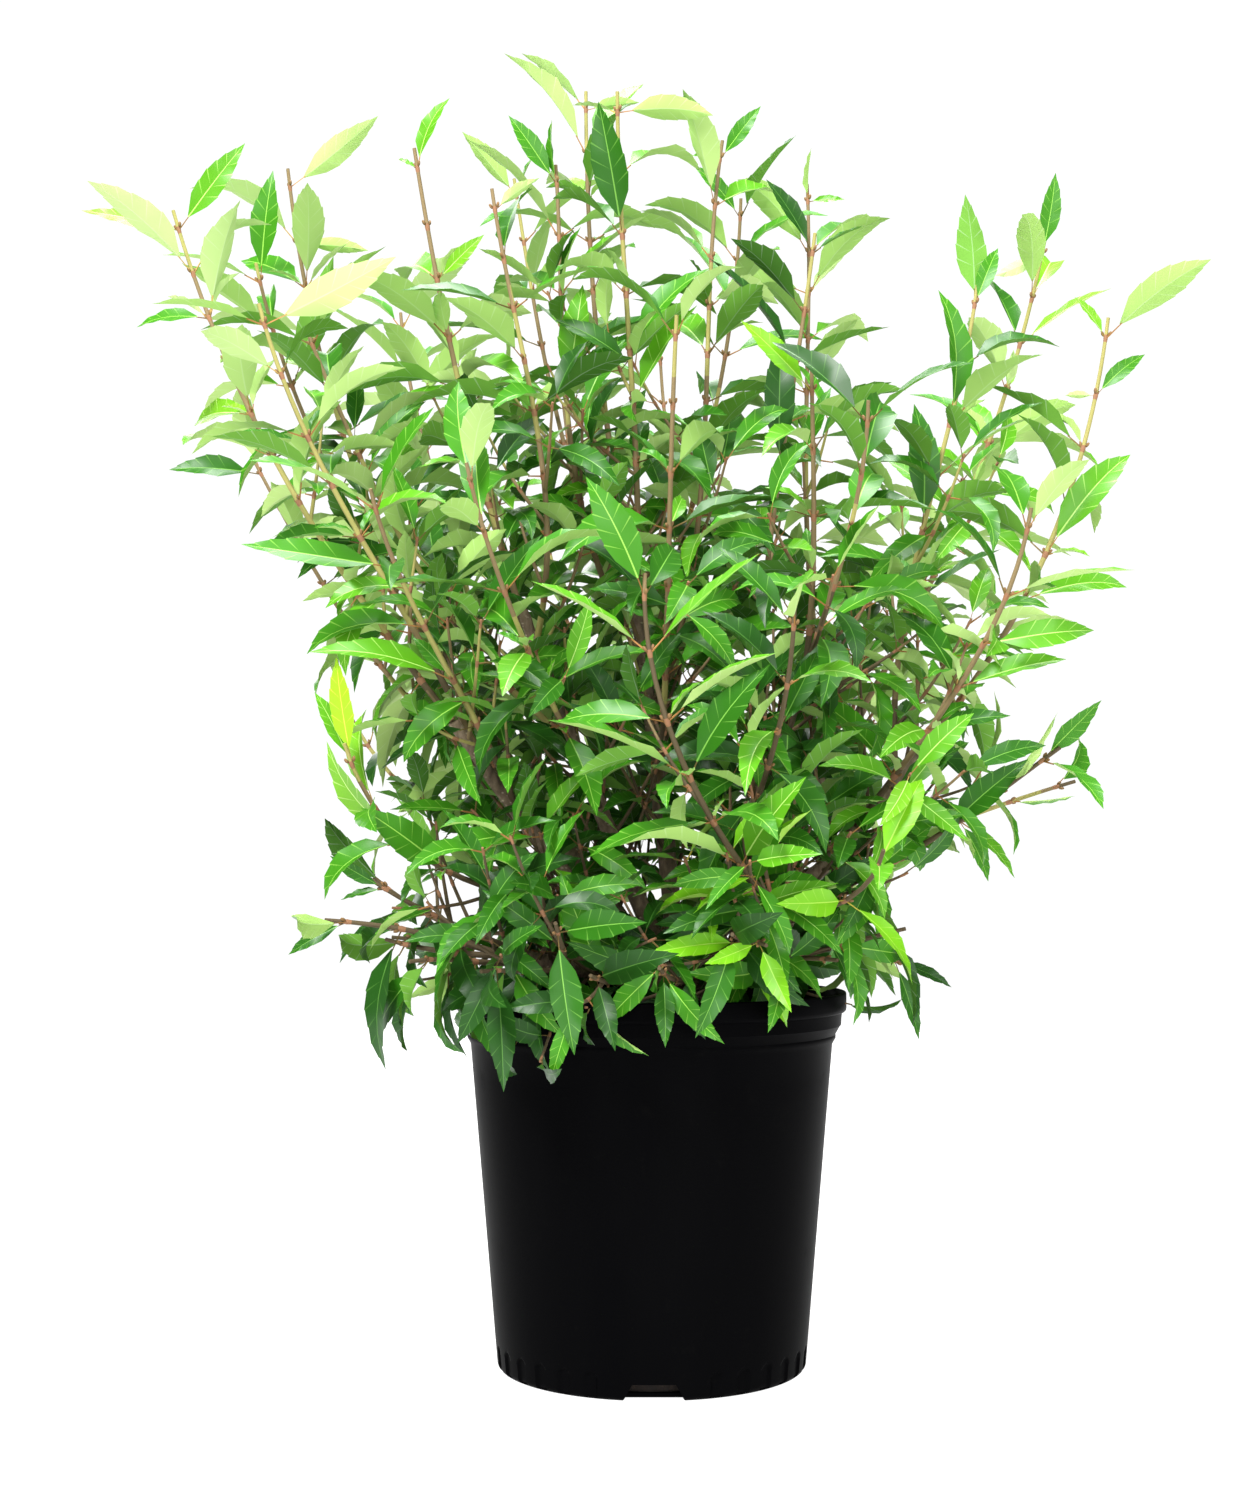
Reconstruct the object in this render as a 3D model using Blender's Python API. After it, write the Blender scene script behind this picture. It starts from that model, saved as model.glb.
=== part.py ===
"""A forsythia shrub in a round nursery pot: pot, potting mix, root crown, boughs and leafy shoots.

Metres, +Z up. The origin is the middle of the pot's flat underside, and the front is towards -Y.
"""

import math
import random
from dataclasses import dataclass, field

import bmesh
import bpy
from mathutils import Matrix, Vector
from mathutils.bvhtree import BVHTree

# Clearances
GAP = 0.0003
JOIN_WAYS = (("EXACT", 2e-6), ("EXACT", 0.0), ("MANIFOLD", 2e-6), ("MANIFOLD", 0.0))
LEAF_CLEARANCE = 0.0005
STEM_CLEARANCE = 0.0004
WELD = 1e-6

# Pot
POT_HEIGHT = 0.2177
RIM_RADIUS = 0.1143
LIP_HEIGHT = 0.0115
LIP_ROUND = 0.0012
LIP_STEP = 0.0006
LIP_INSET = 0.0010
BAND_RADIUS = 0.1112
BAND_HEIGHT = 0.0075
BAND_FLARE = 0.0004
RIDGE_RADIUS = 0.1076
RIDGE_DROP = 0.0255
RIDGE_UNDER = 0.0012
RIDGE_OVER = 0.0008
WALL_TOP_RADIUS = 0.1060
WALL_TOP_DROP = 0.0300
WALL_FOOT_RADIUS = 0.0900
FOOT_CORNER = 0.0040
WALL = 0.0018
FLOOR = 0.0024
POT_STEPS = 36

# Drainage: three wide notches and eight shallow flutes between each two of them
NOTCHES = 3
NOTCH_TOP_WIDTH = 0.024
NOTCH_FOOT_WIDTH = 0.036
NOTCH_HEIGHT = 0.0095
NOTCH_REACH = 0.0120
CUT_UNDER = 0.002
FLUTES_BETWEEN = 8
FIRST_FLUTE = math.radians(22.5)
FLUTE_WIDTH = 0.0068
FLUTE_HEIGHT = 0.0150
FLUTE_DEPTH = 0.0012
FLUTE_ARCH_STEPS = 2
FLUTE_CUTTER_DEPTH = 0.010

# Potting mix
MIX_TOP = 0.1990
MIX_CROWN = 0.0020
MIX_LEVEL_SHARE = 0.65
MIX_STEPS = 24

# Root crown
CROWN_X = 0.012
CROWN_FOOT_RADIUS = 0.0290
CROWN_WAIST_RADIUS = 0.0170
CROWN_HEAD_RADIUS = 0.0150
CROWN_HEIGHT = 0.0300
CROWN_PEAK = 0.002
CROWN_PROFILE = (
    (CROWN_FOOT_RADIUS, 0.0),
    (0.78 * CROWN_FOOT_RADIUS, 0.15),
    (CROWN_WAIST_RADIUS, 0.45),
    (CROWN_HEAD_RADIUS, 0.85),
    (0.6 * CROWN_HEAD_RADIUS, 1.0),
)
CROWN_SPREAD_RISE = 0.6
CROWN_LOBES = 3
CROWN_LOBE = 0.10
CROWN_LOBE_TURN = 0.6
CROWN_LEAN = Vector((0.004, -0.001, 0.0))
CROWN_SIDES = 10
STUB_LENGTH = 0.0330
STUB_FLARE = 1.12

# Limbs and shoots
BOUGH_SIDES = 6
BOUGH_STATIONS = 6
BOUGH_FOOT_RADIUS = 0.0058
BOUGH_TIP_RADIUS = 0.0036
BOUGH_LEAVE = 0.65
BOUGH_ARRIVE = 0.42
BOUGH_FOOT_SHARE = 0.80
BOUGH_FOOT_GAIN = 0.8
BOUGH_TAPER_REACH = 0.16
STEM_SIDES = 3
STEM_STEP = 0.065
STEM_FOOT_RADIUS = 0.0027
STEM_TIP_RADIUS = 0.0019
STEM_TRIES = 60
STEM_BOW = 0.010
STEM_HANDLE = 0.34
STEM_SEAT_LEAN = 0.35
STEM_ON_TIP = 0.8
FEWEST_STATIONS = 4

# Side twigs
TWIG_LENGTH = (0.050, 0.085)
TWIG_ANGLE = (math.radians(38), math.radians(58))
TWIG_FOOT_RADIUS = 0.0017
TWIG_TIP_RADIUS = 0.0012
TWIG_SPACING = 0.190
TWIG_RISE = 0.25
TWIG_START = 0.16
TWIG_SPAN = 0.50
TWIG_TRIES = 4
TWIG_FIRST_PAIR = 0.004

# Leaves: opposite pairs, each pair a quarter turn from the last
LEAF_LENGTH = (0.054, 0.064)
LEAF_GROWTH = 0.024
LEAF_WIDTH_SHARE = 0.37
LEAF_THICKNESS = 0.0013
LEAF_FOLD = 0.0022
LEAF_WAIST = 0.46
LEAF_SINK = 0.0004
LEAF_TEST_START = 0.0060
PAIR_SPACING = 0.045
FIRST_PAIR = 0.011
TIP_ANGLE = math.radians(38)
FOOT_ANGLE = math.radians(76)
LEAF_DROOP = (math.radians(6), math.radians(36))
LEAF_SAG = 0.55
LEAF_TRIES = 5
LEAF_TURN_PLAY = 0.35
LEAF_ANGLE_PLAY = 0.16
LEAF_ROLL_PLAY = 0.4
LEAF_WIDTH_PLAY = (0.92, 1.08)
LEAF_OPENING = 1.4
LEAF_GROWTH_RATE = 1.5
LEAF_FACE_LIFT = 0.5
LAST_PAIR = 0.012
SLEEVE = 0.095
MOST_LEAVES = 520
LOWEST_LEAF = 0.150

SEED = 20


@dataclass(frozen=True)
class Bough:
    """A main limb, from the root crown through its knee to its tip."""

    name: str
    knee: tuple
    tip: tuple


@dataclass(frozen=True)
class Shoot:
    """A leafy cane: the bough that carries it, where along the bough, and where its tip is.

    spread is how much flatter than its chord it sets out, and arch how much of the chord's lean is
    left at its tip.
    """

    name: str
    bough: str
    at: float
    tip: tuple
    spread: float = 1.5
    arch: float = 0.55


BOUGHS = (
    Bough("bough_left", (-0.050, -0.028, 0.278), (-0.112, -0.068, 0.372)),
    Bough("bough_right", (0.088, -0.046, 0.272), (0.160, -0.052, 0.366)),
    Bough("bough_front", (0.048, -0.058, 0.244), (0.074, -0.092, 0.262)),
    Bough("bough_centre_left", (-0.034, -0.008, 0.330), (-0.078, -0.024, 0.445)),
    Bough("bough_centre", (0.006, 0.012, 0.345), (-0.012, 0.022, 0.470)),
    Bough("bough_centre_right", (0.056, -0.024, 0.310), (0.086, -0.055, 0.398)),
    Bough("bough_back_left", (-0.048, 0.046, 0.296), (-0.115, 0.088, 0.395)),
    Bough("bough_back", (0.010, 0.070, 0.320), (0.002, 0.122, 0.430)),
    Bough("bough_back_right", (0.072, 0.050, 0.292), (0.136, 0.086, 0.392)),
    Bough("bough_low_left", (-0.046, -0.040, 0.234), (-0.084, -0.076, 0.242)),
    Bough("bough_low_right", (0.072, 0.002, 0.236), (0.106, 0.014, 0.244)),
    Bough("bough_low_back", (0.000, 0.060, 0.240), (-0.020, 0.104, 0.256)),
)

SHOOTS = (
    Shoot("shoot_left_outer", "bough_left", 1.0, (-0.282, -0.020, 0.677)),
    Shoot("shoot_left_front", "bough_left", 0.86, (-0.217, -0.105, 0.600)),
    Shoot("shoot_left_short", "bough_left", 0.70, (-0.150, -0.150, 0.490)),
    Shoot("shoot_left_low", "bough_left", 0.36, (-0.166, -0.125, 0.357), 2.2, 0.3),
    Shoot("shoot_left_back", "bough_back_left", 0.80, (-0.243, 0.040, 0.662)),
    Shoot("shoot_left_tall", "bough_back_left", 1.0, (-0.229, 0.075, 0.732)),
    Shoot("shoot_left_rear", "bough_back_left", 0.62, (-0.262, 0.150, 0.560)),
    Shoot("shoot_back_left", "bough_back_left", 0.90, (-0.170, 0.205, 0.672)),
    Shoot("shoot_back_left_low", "bough_back_left", 0.34, (-0.205, 0.165, 0.405), 2.0, 0.3),
    Shoot("shoot_left_inner", "bough_centre_left", 1.0, (-0.139, -0.030, 0.711)),
    Shoot("shoot_left_middle", "bough_centre_left", 0.62, (-0.205, -0.010, 0.610)),
    Shoot("shoot_front_left", "bough_centre_left", 0.88, (-0.091, -0.072, 0.674)),
    Shoot("shoot_front_left_low", "bough_centre_left", 0.42, (-0.098, -0.172, 0.500), 1.9, 0.2),
    Shoot("shoot_middle_left", "bough_centre", 0.76, (-0.058, 0.036, 0.722)),
    Shoot("shoot_middle_front", "bough_centre", 0.90, (-0.020, -0.032, 0.744)),
    Shoot("shoot_top", "bough_centre", 1.0, (-0.040, 0.076, 0.782)),
    Shoot("shoot_middle_right", "bough_centre", 0.60, (0.044, 0.020, 0.732)),
    Shoot("shoot_front_upper", "bough_centre", 0.42, (0.012, -0.128, 0.588), 1.8, 0.2),
    Shoot("shoot_front_right", "bough_centre_right", 1.0, (0.086, -0.112, 0.562), 1.4, 0.3),
    Shoot("shoot_front_right_outer", "bough_centre_right", 0.80, (0.112, -0.155, 0.536), 1.5, 0.3),
    Shoot("shoot_right_inner", "bough_centre_right", 0.62, (0.098, -0.004, 0.668)),
    Shoot("shoot_front_right_low", "bough_centre_right", 0.40, (0.070, -0.190, 0.424), 2.2, 0.2),
    Shoot("shoot_right_outer", "bough_right", 1.0, (0.268, -0.024, 0.612)),
    Shoot("shoot_right_middle", "bough_right", 0.84, (0.188, -0.044, 0.626), 1.2, 0.6),
    Shoot("shoot_right_front", "bough_right", 0.66, (0.198, -0.150, 0.480), 1.8, 0.3),
    Shoot("shoot_right_low_front", "bough_right", 0.40, (0.222, -0.100, 0.356), 1.2, 0.8),
    Shoot("shoot_right_tall", "bough_back_right", 1.0, (0.252, 0.078, 0.690)),
    Shoot("shoot_right_back_top", "bough_back_right", 0.84, (0.106, 0.140, 0.742), 0.9, 0.6),
    Shoot("shoot_right_low", "bough_back_right", 0.32, (0.258, 0.034, 0.342), 1.2, 0.8),
    Shoot("shoot_right_rear", "bough_back_right", 0.68, (0.232, 0.160, 0.572)),
    Shoot("shoot_back_right", "bough_back_right", 0.50, (0.160, 0.222, 0.470), 2.0, 0.3),
    Shoot("shoot_back_top_left", "bough_back", 0.86, (-0.088, 0.128, 0.742)),
    Shoot("shoot_back_top_right", "bough_back", 1.0, (0.060, 0.105, 0.722)),
    Shoot("shoot_back_middle", "bough_back", 0.72, (0.010, 0.235, 0.655)),
    Shoot("shoot_back_outer", "bough_back", 0.46, (-0.070, 0.240, 0.520), 2.0, 0.3),
    Shoot("shoot_back_low", "bough_back", 0.28, (0.082, 0.215, 0.372), 2.2, 0.3),
    Shoot("shoot_front", "bough_front", 1.0, (-0.006, -0.192, 0.440), 5.0, 0.1),
    Shoot("shoot_front_low", "bough_front", 0.60, (0.118, -0.160, 0.300), 2.0, 0.3),
    Shoot("shoot_rim_left", "bough_low_left", 1.0, (-0.179, -0.102, 0.262), 1.2, 0.8),
    Shoot("shoot_rim_left_back", "bough_low_left", 0.35, (-0.166, 0.022, 0.284), 1.2, 0.8),
    Shoot("shoot_rim_front", "bough_low_left", 0.62, (-0.052, -0.158, 0.262), 1.4, 0.5),
    Shoot("shoot_rim_right", "bough_low_right", 1.0, (0.158, 0.024, 0.232), 1.6, 1.6),
    Shoot("shoot_rim_front_right", "bough_low_right", 0.55, (0.040, -0.150, 0.256), 1.4, 0.5),
    Shoot("shoot_rim_back", "bough_low_back", 1.0, (-0.086, 0.186, 0.300), 1.4, 0.5),
    Shoot("shoot_rim_back_right", "bough_low_back", 0.50, (0.078, 0.162, 0.286), 1.4, 0.5),
)


@dataclass
class Tube:
    """A tapering limb's course: its stations, the radius at each, and the way it leaves its seat."""

    path: list
    radii: list
    seat_normal: Vector

    def point(self, share):
        """The point a share of the way along, its direction and the radius there."""
        place = share * (len(self.path) - 1)
        index = min(int(place), len(self.path) - 2)
        rest = place - index
        start, end = self.path[index], self.path[index + 1]
        radius = self.radii[index] + rest * (self.radii[index + 1] - self.radii[index])
        return start.lerp(end, rest), (end - start).normalized(), radius

    def length(self):
        """The length of the limb along its stations."""
        return sum((b - a).length for a, b in zip(self.path, self.path[1:]))


@dataclass
class Solid:
    """Points and triangles, with the tree that finds what crosses them."""

    points: list
    faces: list

    def __post_init__(self):
        """Builds the search tree and the box round the solid."""
        self.tree = BVHTree.FromPolygons(self.points, self.faces)
        self.low = Vector([min(p[axis] for p in self.points) for axis in range(3)])
        self.high = Vector([max(p[axis] for p in self.points) for axis in range(3)])

    def meets(self, other):
        """True where the two surfaces cross."""
        if any(self.low[axis] > other.high[axis] for axis in range(3)):
            return False
        if any(other.low[axis] > self.high[axis] for axis in range(3)):
            return False
        return bool(self.tree.overlap(other.tree))


def clear_scene():
    """Removes the objects and meshes that a new scene starts with."""
    for obj in list(bpy.data.objects):
        bpy.data.objects.remove(obj, do_unlink=True)


def material(name, colour, roughness, metallic=0.0):
    """A plain Principled material."""
    made = bpy.data.materials.new(name)
    made.use_nodes = True
    shader = made.node_tree.nodes["Principled BSDF"]
    shader.inputs["Base Color"].default_value = (*colour, 1.0)
    shader.inputs["Roughness"].default_value = roughness
    shader.inputs["Metallic"].default_value = metallic
    return made


def object_from(bm, name, finish, collection=None):
    """An object with the bmesh's shape, triangulated and facing outwards."""
    bmesh.ops.recalc_face_normals(bm, faces=bm.faces)
    bmesh.ops.triangulate(bm, faces=bm.faces)
    mesh = bpy.data.meshes.new(name)
    bm.to_mesh(mesh)
    bm.free()
    mesh.materials.append(finish)
    obj = bpy.data.objects.new(name, mesh)
    (collection or bpy.context.scene.collection).objects.link(obj)
    return obj


def solid_of(obj):
    """The object's triangles as a Solid."""
    mesh = obj.data
    mesh.calc_loop_triangles()
    points = [vertex.co.copy() for vertex in mesh.vertices]
    return Solid(points, [tuple(triangle.vertices) for triangle in mesh.loop_triangles])


def cut(obj, cutters):
    """Takes the cutters out of the object and leaves its mesh cut."""
    held = bpy.data.collections.new(obj.name + "_cutters")
    bpy.context.scene.collection.children.link(held)
    for cutter in cutters:
        bpy.context.scene.collection.objects.unlink(cutter)
        held.objects.link(cutter)
    apply_boolean(obj, held, "DIFFERENCE", "EXACT")
    drop_collection(held)


def drop_collection(collection):
    """Removes a collection with the objects in it."""
    for member in list(collection.objects):
        bpy.data.objects.remove(member, do_unlink=True)
    bpy.data.collections.remove(collection)


def apply_boolean(obj, collection, operation, solver):
    """Runs a Boolean with a collection's objects and gives the object the resulting mesh."""
    modifier = obj.modifiers.new("join", "BOOLEAN")
    modifier.operand_type = "COLLECTION"
    modifier.collection = collection
    modifier.operation = operation
    modifier.solver = solver
    bpy.context.view_layer.update()
    graph = bpy.context.evaluated_depsgraph_get()
    joined = bpy.data.meshes.new_from_object(obj.evaluated_get(graph))
    obj.modifiers.remove(modifier)
    obj.data = joined


def turned(profile, steps):
    """A bmesh of a profile of (radius, height) turned about Z, its ends on the axis."""
    bm = bmesh.new()
    points = [bm.verts.new((radius, 0.0, height)) for radius, height in profile]
    edges = [bm.edges.new(pair) for pair in zip(points, points[1:])]
    bmesh.ops.spin(
        bm,
        geom=points + edges,
        axis=(0.0, 0.0, 1.0),
        cent=(0.0, 0.0, 0.0),
        angle=math.tau,
        steps=steps,
        use_merge=True,
    )
    bmesh.ops.remove_doubles(bm, verts=bm.verts, dist=WELD)
    bmesh.ops.dissolve_degenerate(bm, edges=bm.edges, dist=WELD)
    return bm


def pot_outer_profile():
    """The pot's outside from the middle of its underside up to the lip's outer top edge."""
    wall_top = POT_HEIGHT - WALL_TOP_DROP
    lip_foot = POT_HEIGHT - LIP_HEIGHT
    band_foot = lip_foot - BAND_HEIGHT
    foot_centre = WALL_FOOT_RADIUS - FOOT_CORNER
    corner = [
        (foot_centre + FOOT_CORNER * math.sin(turn), FOOT_CORNER * (1 - math.cos(turn)))
        for turn in (math.radians(degrees) for degrees in (0, 40, 80))
    ]
    return [(0.0, 0.0)] + corner + [
        (WALL_TOP_RADIUS, wall_top),
        (RIDGE_RADIUS, POT_HEIGHT - RIDGE_DROP - RIDGE_UNDER),
        (RIDGE_RADIUS, POT_HEIGHT - RIDGE_DROP + RIDGE_OVER),
        (BAND_RADIUS, band_foot),
        (BAND_RADIUS + BAND_FLARE, lip_foot),
        (RIM_RADIUS, lip_foot + LIP_STEP),
        (RIM_RADIUS, POT_HEIGHT - LIP_ROUND),
    ]


def pot_inner_profile():
    """The pot's inside from the lip's top down to the middle of its floor."""
    wall_top = POT_HEIGHT - WALL_TOP_DROP
    band_foot = POT_HEIGHT - LIP_HEIGHT - BAND_HEIGHT
    return [
        (RIM_RADIUS - LIP_INSET, POT_HEIGHT),
        (RIM_RADIUS - WALL - LIP_STEP, POT_HEIGHT - LIP_STEP),
        (BAND_RADIUS - WALL, POT_HEIGHT - LIP_HEIGHT),
        (BAND_RADIUS - WALL - BAND_FLARE, band_foot),
        (WALL_TOP_RADIUS - WALL, wall_top),
        (WALL_FOOT_RADIUS - WALL, FLOOR + FOOT_CORNER),
        (WALL_FOOT_RADIUS - WALL - FOOT_CORNER, FLOOR),
        (0.0, FLOOR),
    ]


def prism(outline, depth, turn, radius, name, finish):
    """A cutter: an outline of (across, height) pushed out radially by depth, starting at radius."""
    bm = bmesh.new()
    face = bm.faces.new([bm.verts.new((radius, across, height)) for across, height in outline])
    pushed = bmesh.ops.extrude_face_region(bm, geom=[face])["geom"]
    moved = [item for item in pushed if isinstance(item, bmesh.types.BMVert)]
    bmesh.ops.translate(bm, verts=moved, vec=(depth, 0.0, 0.0))
    bmesh.ops.rotate(bm, verts=bm.verts, cent=(0, 0, 0), matrix=Matrix.Rotation(turn, 3, "Z"))
    cutter = object_from(bm, name, finish)
    cutter.hide_render = True
    cutter.display_type = "WIRE"
    return cutter


def notch_outline():
    """A drainage notch: a low trapezium, wider at its foot, that opens downwards."""
    top, foot = NOTCH_TOP_WIDTH / 2, NOTCH_FOOT_WIDTH / 2
    return [(-foot, -CUT_UNDER), (foot, -CUT_UNDER), (top, NOTCH_HEIGHT), (-top, NOTCH_HEIGHT)]


def flute_outline():
    """A flute: straight sides under a round arch, open downwards."""
    half = FLUTE_WIDTH / 2
    spring = FLUTE_HEIGHT - half
    arch = [
        (half * math.cos(turn), spring + half * math.sin(turn))
        for turn in (math.pi * step / FLUTE_ARCH_STEPS for step in range(FLUTE_ARCH_STEPS + 1))
    ]
    return [(-half, -CUT_UNDER), (half, -CUT_UNDER)] + arch


def drain_turns():
    """The directions of the notches, the first at the front."""
    return [math.tau * index / NOTCHES - math.pi / 2 for index in range(NOTCHES)]


def flute_turns():
    """The directions of the flutes, spread evenly between each two notches."""
    between = math.tau / NOTCHES
    pitch = (between - 2 * FIRST_FLUTE) / (FLUTES_BETWEEN - 1)
    return [
        start + FIRST_FLUTE + pitch * index
        for start in drain_turns()
        for index in range(FLUTES_BETWEEN)
    ]


def make_pot(finish):
    """The thin-walled pot with its lip, band, ridge, drainage notches and flutes."""
    pot = object_from(turned(pot_outer_profile() + pot_inner_profile(), POT_STEPS), "pot", finish)
    inside = WALL_FOOT_RADIUS - NOTCH_REACH
    cutters = [
        prism(notch_outline(), 2 * NOTCH_REACH, turn, inside, "notch_cutter", finish)
        for turn in drain_turns()
    ]
    face = WALL_FOOT_RADIUS - FLUTE_DEPTH
    cutters += [
        prism(flute_outline(), FLUTE_CUTTER_DEPTH, turn, face, "flute_cutter", finish)
        for turn in flute_turns()
    ]
    cut(pot, cutters)
    return pot


def make_mix(finish):
    """The potting mix, a little clear of the pot and slightly crowned."""
    floor = FLOOR + GAP
    inner_foot = WALL_FOOT_RADIUS - WALL - GAP
    wall_top = POT_HEIGHT - WALL_TOP_DROP
    slope = (WALL_TOP_RADIUS - WALL_FOOT_RADIUS) / (wall_top - FLOOR - FOOT_CORNER)
    brim = MIX_TOP - MIX_CROWN
    band_foot = POT_HEIGHT - LIP_HEIGHT - BAND_HEIGHT
    above = (BAND_RADIUS - WALL_TOP_RADIUS - BAND_FLARE) / (band_foot - wall_top)
    brim_radius = WALL_TOP_RADIUS - WALL - 2 * GAP + above * (brim - wall_top)
    chamfer = NOTCH_REACH + 0.001
    profile = [
        (0.0, floor),
        (WALL_FOOT_RADIUS - chamfer, floor),
        (WALL_FOOT_RADIUS - chamfer, NOTCH_HEIGHT + GAP),
        (inner_foot + slope * (NOTCH_HEIGHT - FLOOR - FOOT_CORNER) - GAP, NOTCH_HEIGHT + GAP),
        (WALL_TOP_RADIUS - WALL - 2 * GAP, wall_top),
        (brim_radius, brim),
        (MIX_LEVEL_SHARE * brim_radius, MIX_TOP),
        (0.0, MIX_TOP),
    ]
    return object_from(turned(profile, MIX_STEPS), "potting_mix", finish)


def across(direction):
    """Two unit vectors that stand square to a direction and to each other."""
    helper = Vector((0, 0, 1)) if abs(direction.z) < 0.9 else Vector((1, 0, 0))
    first = direction.cross(helper).normalized()
    return first, direction.cross(first).normalized()


def cubic(start, leave, arrive, end, stations):
    """Points along a cubic curve with the given handles."""
    shares = [index / (stations - 1) for index in range(stations)]
    return [
        start * (1 - t) ** 3
        + leave * 3 * t * (1 - t) ** 2
        + arrive * 3 * t**2 * (1 - t)
        + end * t**3
        for t in shares
    ]


def tube_rings(tube, sides, swell=0.0):
    """The rings of points round a tube, the first one in the plane of its seat."""
    side, _ = across(tube.seat_normal)
    rings = []
    for index, (centre, radius) in enumerate(zip(tube.path, tube.radii)):
        before = tube.path[max(index - 1, 0)]
        after = tube.path[min(index + 1, len(tube.path) - 1)]
        way = tube.seat_normal if index == 0 else (after - before).normalized()
        side = (side - way * side.dot(way)).normalized()
        up = way.cross(side)
        turns = [math.tau * step / sides for step in range(sides)]
        rings.append([centre + (side * math.cos(a) + up * math.sin(a)) * (radius + swell) for a in turns])
    return rings


def tube_faces(stations, sides):
    """The triangles of a tube with flat caps, for rings listed one after another."""
    faces = []
    for ring in range(stations - 1):
        for step in range(sides):
            a = ring * sides + step
            b = ring * sides + (step + 1) % sides
            faces += [(a, b, b + sides), (a, b + sides, a + sides)]
    last = (stations - 1) * sides
    faces += [(0, step + 1, step) for step in range(1, sides - 1)]
    faces += [(last, last + step, last + step + 1) for step in range(1, sides - 1)]
    return faces


def tube_solid(tube, sides, swell=0.0):
    """A tube as a Solid, fatter by swell for a test of its clearance."""
    points = [point for ring in tube_rings(tube, sides, swell) for point in ring]
    return Solid(points, tube_faces(len(tube.path), sides))


def object_of_solid(solid, name, finish, collection=None):
    """An object with a Solid's points and triangles."""
    bm = bmesh.new()
    points = [bm.verts.new(point) for point in solid.points]
    for face in solid.faces:
        bm.faces.new([points[index] for index in face])
    return object_from(bm, name, finish, collection)


def crown_head():
    """The point that the boughs spread from."""
    return Vector((CROWN_X, 0.0, MIX_TOP + CROWN_SPREAD_RISE * CROWN_HEIGHT)) + CROWN_LEAN


def bough_tube(bough):
    """A bough's course, from just past its stub on the root crown."""
    head = crown_head()
    knee, tip = Vector(bough.knee), Vector(bough.tip)
    way = (knee - head).normalized()
    start = head + way * (STUB_LENGTH + GAP)
    leave = start.lerp(knee, BOUGH_LEAVE)
    arrive = knee.lerp(tip, BOUGH_ARRIVE)
    path = cubic(start, leave, arrive, tip, BOUGH_STATIONS)
    reach = (tip - start).length
    foot = BOUGH_FOOT_RADIUS * (BOUGH_FOOT_SHARE + BOUGH_FOOT_GAIN * reach)
    tip_radius = foot + (BOUGH_TIP_RADIUS - foot) * min(1.0, reach / BOUGH_TAPER_REACH)
    radii = [foot + (tip_radius - foot) * step / (len(path) - 1) for step in range(len(path))]
    return Tube(path, radii, way)


def make_root_crown(tubes, finish):
    """The flared stump with a flat foot and a stub for each bough."""
    foot = MIX_TOP + GAP
    flare = [(radius, rise * CROWN_HEIGHT) for radius, rise in CROWN_PROFILE]
    bm = turned([(0.0, 0.0)] + flare + [(0.0, CROWN_HEIGHT + CROWN_PEAK)], CROWN_SIDES)
    for vertex in bm.verts:
        rise = vertex.co.z / CROWN_HEIGHT
        turn = math.atan2(vertex.co.y, vertex.co.x)
        lobe = 1 + CROWN_LOBE * math.cos(CROWN_LOBES * turn + CROWN_LOBE_TURN) * (1 - rise)
        vertex.co.x *= lobe
        vertex.co.y *= lobe
        vertex.co += CROWN_LEAN * rise + Vector((CROWN_X, 0.0, foot))
    crown = object_from(bm, "root_crown", finish)
    stubs = bpy.data.collections.new("stubs")
    bpy.context.scene.collection.children.link(stubs)
    head = crown_head()
    for tube in tubes:
        way = tube.seat_normal
        path = [head, head + way * STUB_LENGTH]
        radii = [tube.radii[0] * STUB_FLARE, tube.radii[0]]
        object_of_solid(tube_solid(Tube(path, radii, way), BOUGH_SIDES), "stub", finish, stubs)
    fuse(crown, stubs)
    return crown


def fuse(obj, collection):
    """Joins a collection's objects to the object as one closed body, and removes them.

    Where no way of joining leaves one closed body, the last object is left out and the join made again.
    """
    before = obj.data
    while collection.objects:
        for solver, merge in JOIN_WAYS:
            obj.data = before
            apply_boolean(obj, collection, "UNION", solver)
            if tidy_join(obj.data, merge):
                drop_collection(collection)
                return
        bpy.data.objects.remove(collection.objects[-1], do_unlink=True)
    raise ValueError(obj.name + " joins to nothing")


def tidy_join(mesh, merge):
    """Merges what nearly coincides in a joined mesh. True when it is one closed body."""
    bm = bmesh.new()
    bm.from_mesh(mesh)
    if merge:
        bmesh.ops.remove_doubles(bm, verts=bm.verts, dist=merge)
        bmesh.ops.dissolve_degenerate(bm, edges=bm.edges, dist=merge)
    bmesh.ops.triangulate(bm, faces=bm.faces)
    whole = all(len(edge.link_faces) == 2 for edge in bm.edges) and one_body(bm)
    bm.to_mesh(mesh)
    bm.free()
    return whole


def one_body(bm):
    """True when every face of the bmesh can be reached from the first one across edges."""
    bm.faces.ensure_lookup_table()
    waiting = [bm.faces[0]]
    reached = set(waiting)
    while waiting:
        for edge in waiting.pop().edges:
            for face in edge.link_faces:
                if face not in reached:
                    reached.add(face)
                    waiting.append(face)
    return len(reached) == len(bm.faces)


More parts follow.
